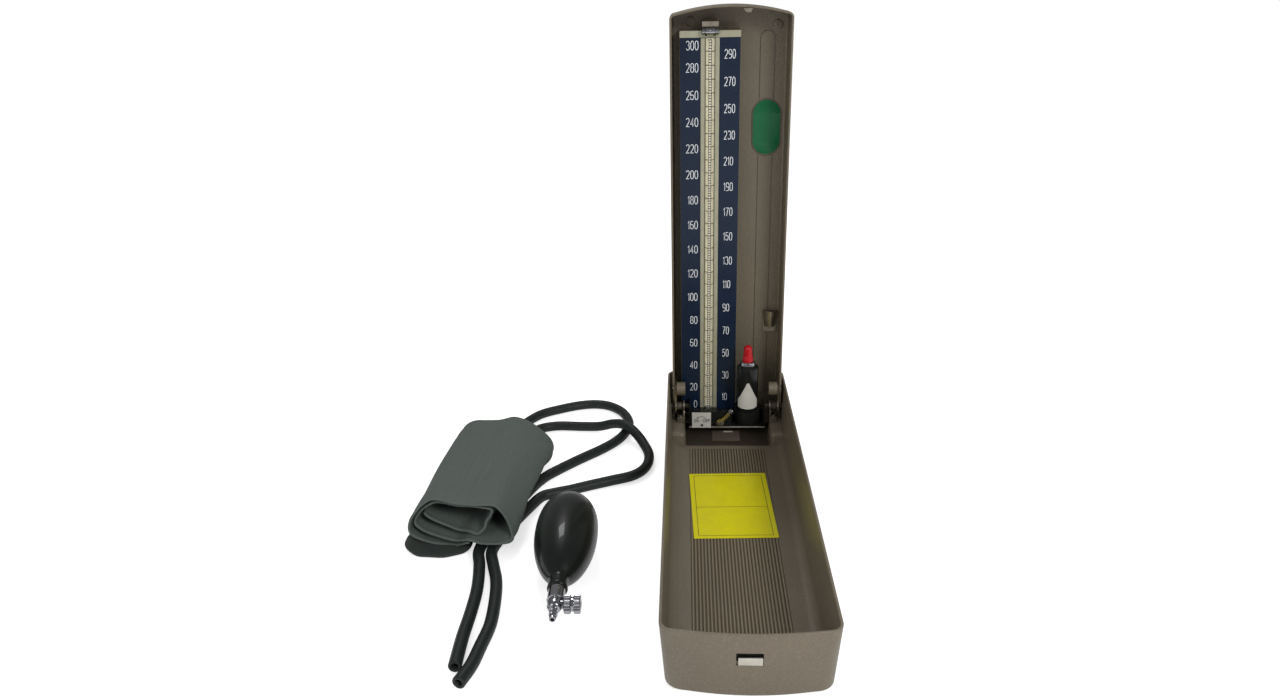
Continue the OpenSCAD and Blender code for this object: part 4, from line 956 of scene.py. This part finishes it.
def roll_surface(rows=380, columns=54):
    """The wrap: its middle line passes smoothly from the near mouth's section to the far one's, and its two faces lie
    half its thickness to either side, closing in a thin hem at each mouth."""
    dense = np.linspace(0, len(MOUTH) - 1, 5000)
    curve = catmull(MOUTH, dense)
    arc_length = np.concatenate([[0], np.cumsum(np.linalg.norm(np.diff(curve, axis=0), axis=1))])
    along = np.linspace(0, arc_length[-1], rows)
    t = np.interp(along, arc_length, dense)
    near, far = catmull(MOUTH, t), catmull(FAR_MOUTH, t)

    half = ROLL_LENGTH / 2
    straight = np.sin(np.linspace(-pi / 2, pi / 2, columns)) * (half - 1.2)
    across = np.concatenate([straight, straight[::-1]])
    outside = np.repeat([1.0, -1.0], columns)
    share = ease((across + half) / (2 * half))
    middle = near[:, None] + share[None, :, None] * (far - near)[:, None]
    ahead = unit(np.gradient(middle, axis=0))
    normal = np.stack([-ahead[..., 1], ahead[..., 0]], axis=-1)

    from_edge = half - np.abs(across)
    thick = CLOTH_HEM + (CLOTH - CLOTH_HEM) * ease((from_edge - SEAM_IN) / HEM)
    thick = thick - 0.6 * np.exp(-(((from_edge - SEAM_IN) / 0.7) ** 2))
    round_off = np.sqrt(np.clip(1 - (1 - np.clip((from_edge - 1.2) / 0.9, 0, 1)) ** 2, 0.02, 1))
    end = np.minimum(along, along[-1] - along)
    closing = np.sqrt(np.clip(1 - (1 - np.clip(end / 1.6, 0, 1)) ** 2, 0, 1))[:, None]
    offset = (outside * thick / 2 * round_off)[None, :] * closing

    u, v, turn = along[:, None], across[None, :], t[:, None]
    crease = ripple(u, v, 4, (64, 41, 93, 29), 0.0055) + ripple(u, v, 9, (17, 12, 9), 0.004)
    section = middle + normal * (offset + crease * np.where(turn < OUTER_TURN, 1.0, 0.4))[..., None]
    x, z = section[..., 0], np.maximum(section[..., 1], 0.05)
    tucked = np.interp(t, [OUTER_TURN, 24, 34, 42], [0, 1.5, 3.0, 5.0])[:, None]
    y = across + np.where(across < 0, 1.0, -1.0) * tucked * ease(np.abs(v) / half)
    y = y + 0.9 * np.sin(u / 17.0) * ease(np.abs(v) / half)
    c, s = cos(ROLL_TURN), sin(ROLL_TURN)
    px, py = ROLL_PLACE[0] + x * c - y * s, ROLL_PLACE[1] + x * s + y * c
    lift = TUNNEL_HEIGHT * ease(1 - (near_hoses(px, py) - TUNNEL_HALF) / TUNNEL_SLOPE)
    pz = lift + z * (1 - lift / ROLL_TOP)
    py = py - LIP * lift / TUNNEL_HEIGHT * ease(1 - z / 20) * ease(1 - (across + half) / 45)
    points = np.stack([px, py, pz], axis=-1)
    place = np.stack(np.broadcast_arrays(u * MM, v * MM, turn), axis=-1)
    return points, grid_faces(rows, 2 * columns), place


points, faces, place = roll_surface()
cuff = solid("cuff_wrap", points, faces, "cuff_set", "cuff_cloth", smooth=60, attribute=place)
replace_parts(cuff, "cuff_roll", "cuff_bladder")


def tongue(width, length, thickness, rows=40, columns=72):
    """Rounded tail of cloth: a squared-off disc whose two faces close at its rim, its left side curling up."""
    radius = np.concatenate([np.linspace(0.02, 1, rows), np.linspace(1, 0.02, rows)])[:, None]
    side = np.repeat([1.0, -1.0], rows)[:, None]
    angle = np.linspace(0, 2 * pi, columns, endpoint=False)[None, :]
    c, s = np.cos(angle), np.sin(angle)
    x = radius * width / 2 * np.sign(c) * np.abs(c) ** 0.8
    y = radius * length / 2 * np.sign(s) * np.abs(s) ** 0.8
    z = thickness / 2 * (1 + side * np.sqrt(np.clip(1 - radius**10, 0, 1))) + 0.2
    z = z + 3.0 * ease((-x - width * 0.2) / (width * 0.3)) + 0.25 * np.sin(x / 3.1 + y / 5.0)
    return np.stack([x, y, np.maximum(z, 0.1)], axis=-1), np.stack(np.broadcast_arrays(x * MM, y * MM, z), axis=-1)


flap_low, flap_high = box_mm("cuff_flap")
TONGUE_WIDTH, TONGUE_LENGTH, TONGUE_THICK = 46.0, 34.0, 2.2
TONGUE_SHIFT = 2.5  # towards +x from the middle of the CAD's flap
shape, place = tongue(TONGUE_WIDTH, TONGUE_LENGTH, TONGUE_THICK)
shape = shape + ((flap_low[0] + flap_high[0]) / 2 + TONGUE_SHIFT, flap_low[1] + TONGUE_LENGTH / 2, 0)
rows, columns = shape.shape[:2]
faces = grid_faces(rows, columns).tolist() + end_faces(rows, columns)
flap = solid("cuff_tail", shape, faces, "cuff_set", "cloth_dark", smooth=60, attribute=place)
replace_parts(flap, "cuff_flap")

# --- bulb and its valve -----------------------------------------------------

BULB_PLACE, BULB_TURN = np.array((-112.1, -49, 20.5)), radians(1.3)
ALONG_BULB = np.array((sin(BULB_TURN), -cos(BULB_TURN), 0))
ACROSS_BULB = (cos(BULB_TURN), sin(BULB_TURN), 0)
BULB_RADIUS, BULB_BACK, BULB_FRONT, BULB_POWER = 20.5, 37.59, 51.91, 2.4
NECK_RADIUS, NECK_END, BARREL_RADIUS = 6.1, 62.01, 5.2


def bulb_profile(steps=60):
    """Radius along the bulb: a blunt squared-off ellipse at its far end, a long ellipse towards the neck, run into
    the neck by a sum of fourth powers, with a faint moulded ridge round the far end and a rolled lip on the neck."""
    far = -BULB_BACK * np.cos(np.linspace(0, pi / 2, steps))
    near = np.linspace(0, NECK_END - 0.8, steps + 1)[1:]
    blunt = np.clip(1 - (-far / BULB_BACK) ** BULB_POWER, 0, 1) ** (1 / BULB_POWER)
    long = np.sqrt(np.clip(1 - (near / BULB_FRONT) ** 2, 0, 1))
    s = np.concatenate([far, near])
    body = BULB_RADIUS * np.concatenate([blunt, long])
    neck = NECK_RADIUS * ease((s + 12) / 24) - 0.35 * np.exp(-(((s - 55) / 4) ** 2))
    radius = (body**4 + neck**4) ** 0.25
    radius = radius * BULB_RADIUS / radius.max()
    radius = radius + 0.25 * np.exp(-(((s + 33.6) / 0.5) ** 2)) + 0.3 * np.exp(-(((s - 60) / 0.9) ** 2))
    inside = [(NECK_RADIUS - 0.3, NECK_END - 0.2), (BARREL_RADIUS + 0.2, NECK_END), (BARREL_RADIUS - 1, NECK_END)]
    return [*np.column_stack([radius, s]), *inside, (BARREL_RADIUS - 1.3, 48), (0, 48)]


bulb = spin("bulb_skin", bulb_profile(), BULB_PLACE, ALONG_BULB, "bulb_set", "bulb_rubber", steps=96, smooth=60)
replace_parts(bulb, "bulb")

VALVE = [
    (0, -9), (3.6, -9), (3.6, 0.1), (4.8, 0.1), (5.2, 0.5), (5.2, 10.4), (4.9, 10.8), (4.2, 11), (4.1, 11.5),
    (4.4, 11.8), (4.4, 16), (3.9, 17.2), (3.0, 18), (2.1, 18.3), (2.6, 20), (2.7, 20.6), (2.1, 21), (2.6, 23),
    (2.6, 23.6), (2.0, 24), (2.2, 26), (1.9, 27.5), (1.2, 27.5), (1.1, 24), (0, 24),
]
valve_place = BULB_PLACE + ALONG_BULB * NECK_END
valve = spin("valve_barrel", VALVE, valve_place, ALONG_BULB, "bulb_set", "chrome", steps=48, smooth=28)
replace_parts(valve, "valve_body")
THUMB_AT = 13.5
seat_place = valve_place + ALONG_BULB * THUMB_AT
SEAT = [(0, 2.5), (2.7, 2.5), (2.7, 4.7), (2.3, 5.1), (1.9, 5.1), (1.9, 4.5), (0, 4.5)]
spin("valve_seat", SEAT, seat_place, ACROSS_BULB, "bulb_set", "chrome", steps=32, smooth=28)
THUMB = [
    (0, 1.6), (1.6, 1.6), (1.6, 5.3), (4.7, 5.3, 0.3), (5.35, 5.8, 1), (5.35, 9.0, 1), (4.7, 9.5, 0.4), (4.2, 9.7),
    (4.2, 11.0), (4.7, 11.1, 0.4), (5.35, 11.6, 1), (5.35, 14.6, 1), (4.7, 15.2, 0.3), (3.0, 15.3), (2.6, 14.8),
    (0, 14.8),
]
thumb = spin(
    "thumb_knurl", THUMB, seat_place, ACROSS_BULB, "valve_screw", "chrome", steps=144, smooth=30, lobes=18, depth=0.25
)
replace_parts(thumb, "thumb_screw")

knob_low, knob_high = box_mm("tap_knob")
knob_middle = (knob_low + knob_high) / 2
LEVER_TILT = radians(48)
KNOB = [
    (0, -2.2), (1.3, -2.2), (1.3, -1.2), (1.75, -0.9, 0.6), (1.8, 1.5, 1), (1.3, 2.1), (0, 2.2),
]
knob = spin(
    "lever_knurl", KNOB, knob_middle, (cos(LEVER_TILT), 0, sin(LEVER_TILT)), "tap", "chrome", steps=96, smooth=30,
    lobes=12, depth=0.12,
)
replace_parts(knob, "tap_knob")

# --- light and floor --------------------------------------------------------

AMBIENT, SHOWN_WHITE, MIRRORED = 0.52, 1.0, 0.26


def make_world():
    """White surroundings: full strength where the camera and glass see them, softer as light and in reflections."""
    world = bpy.data.worlds.new("studio")
    bpy.context.scene.world = world
    world.use_nodes = True
    n = Nodes(world.node_tree)
    path = n.add("ShaderNodeLightPath").outputs
    seen = n.maths("MAXIMUM", path["Is Camera Ray"], path["Is Transmission Ray"])
    strength = n.maths("ADD", n.maths("MULTIPLY", seen, SHOWN_WHITE - AMBIENT), AMBIENT)
    strength = n.maths("ADD", strength, n.maths("MULTIPLY", path["Is Glossy Ray"], MIRRORED - AMBIENT))
    background = world.node_tree.nodes["Background"]
    background.inputs["Color"].default_value = (1, 1, 1, 1)
    n.feed(background, "Strength", strength)


FLOOR_SHOWN, FLOOR_MIRRORED = 0.62, 0.25  # light that the floor adds for the camera and in reflections
FLOOR_REACH, FLOOR_DROP = 6.0, 0.0004  # metres


def make_floor():
    """Pale floor that shows as white and keeps the shadows."""
    mesh = bpy.data.meshes.new("floor")
    corners = [(x * FLOOR_REACH, y * FLOOR_REACH, -FLOOR_DROP) for x, y in ((-1, -1), (1, -1), (1, 1), (-1, 1))]
    mesh.from_pydata(corners, [], [(0, 1, 2, 3)])
    floor = bpy.data.objects.new("floor", mesh)
    bpy.context.collection.objects.link(floor)
    made = bpy.data.materials.new("floor")
    made.use_nodes = True
    n = Nodes(made.node_tree)
    surface = made.node_tree.nodes["Principled BSDF"]
    n.feed(surface, "Base Color", (0.86, 0.86, 0.86, 1))
    n.feed(surface, "Roughness", 0.9)
    n.feed(surface, "Emission Color", (1, 1, 1, 1))
    path = n.add("ShaderNodeLightPath").outputs
    seen = n.maths("MAXIMUM", path["Is Camera Ray"], path["Is Transmission Ray"])
    mirrored = n.maths("MULTIPLY", path["Is Glossy Ray"], FLOOR_MIRRORED)
    n.feed(surface, "Emission Strength", n.maths("ADD", n.maths("MULTIPLY", seen, FLOOR_SHOWN), mirrored))
    mesh.materials.append(made)


LAMPS = {  # place and size in metres, watts
    "key_lamp": ((1.1, -1.5, 1.3), 0.6, 22),
    "fill_lamp": ((-1.1, -1.4, 0.9), 0.9, 6),
    "top_lamp": ((-0.28, 0.73, 1.25), 0.36, 4),
}
LAMP_TARGET = (-0.03, 0, 0.1)


def make_lamp(name, place, size, power):
    """Square area lamp in a place, turned to the middle of the object."""
    data = bpy.data.lights.new(name, "AREA")
    data.energy, data.size = power, size
    lamp = bpy.data.objects.new(name, data)
    bpy.context.collection.objects.link(lamp)
    lamp.location = place
    lamp.rotation_mode = "QUATERNION"
    lamp.rotation_quaternion = (Vector(LAMP_TARGET) - Vector(place)).to_track_quat("-Z", "Y")


make_world()
make_floor()
for name, (place, size, power) in LAMPS.items():
    make_lamp(name, place, size, power)
bpy.context.scene.view_settings.view_transform = "Standard"
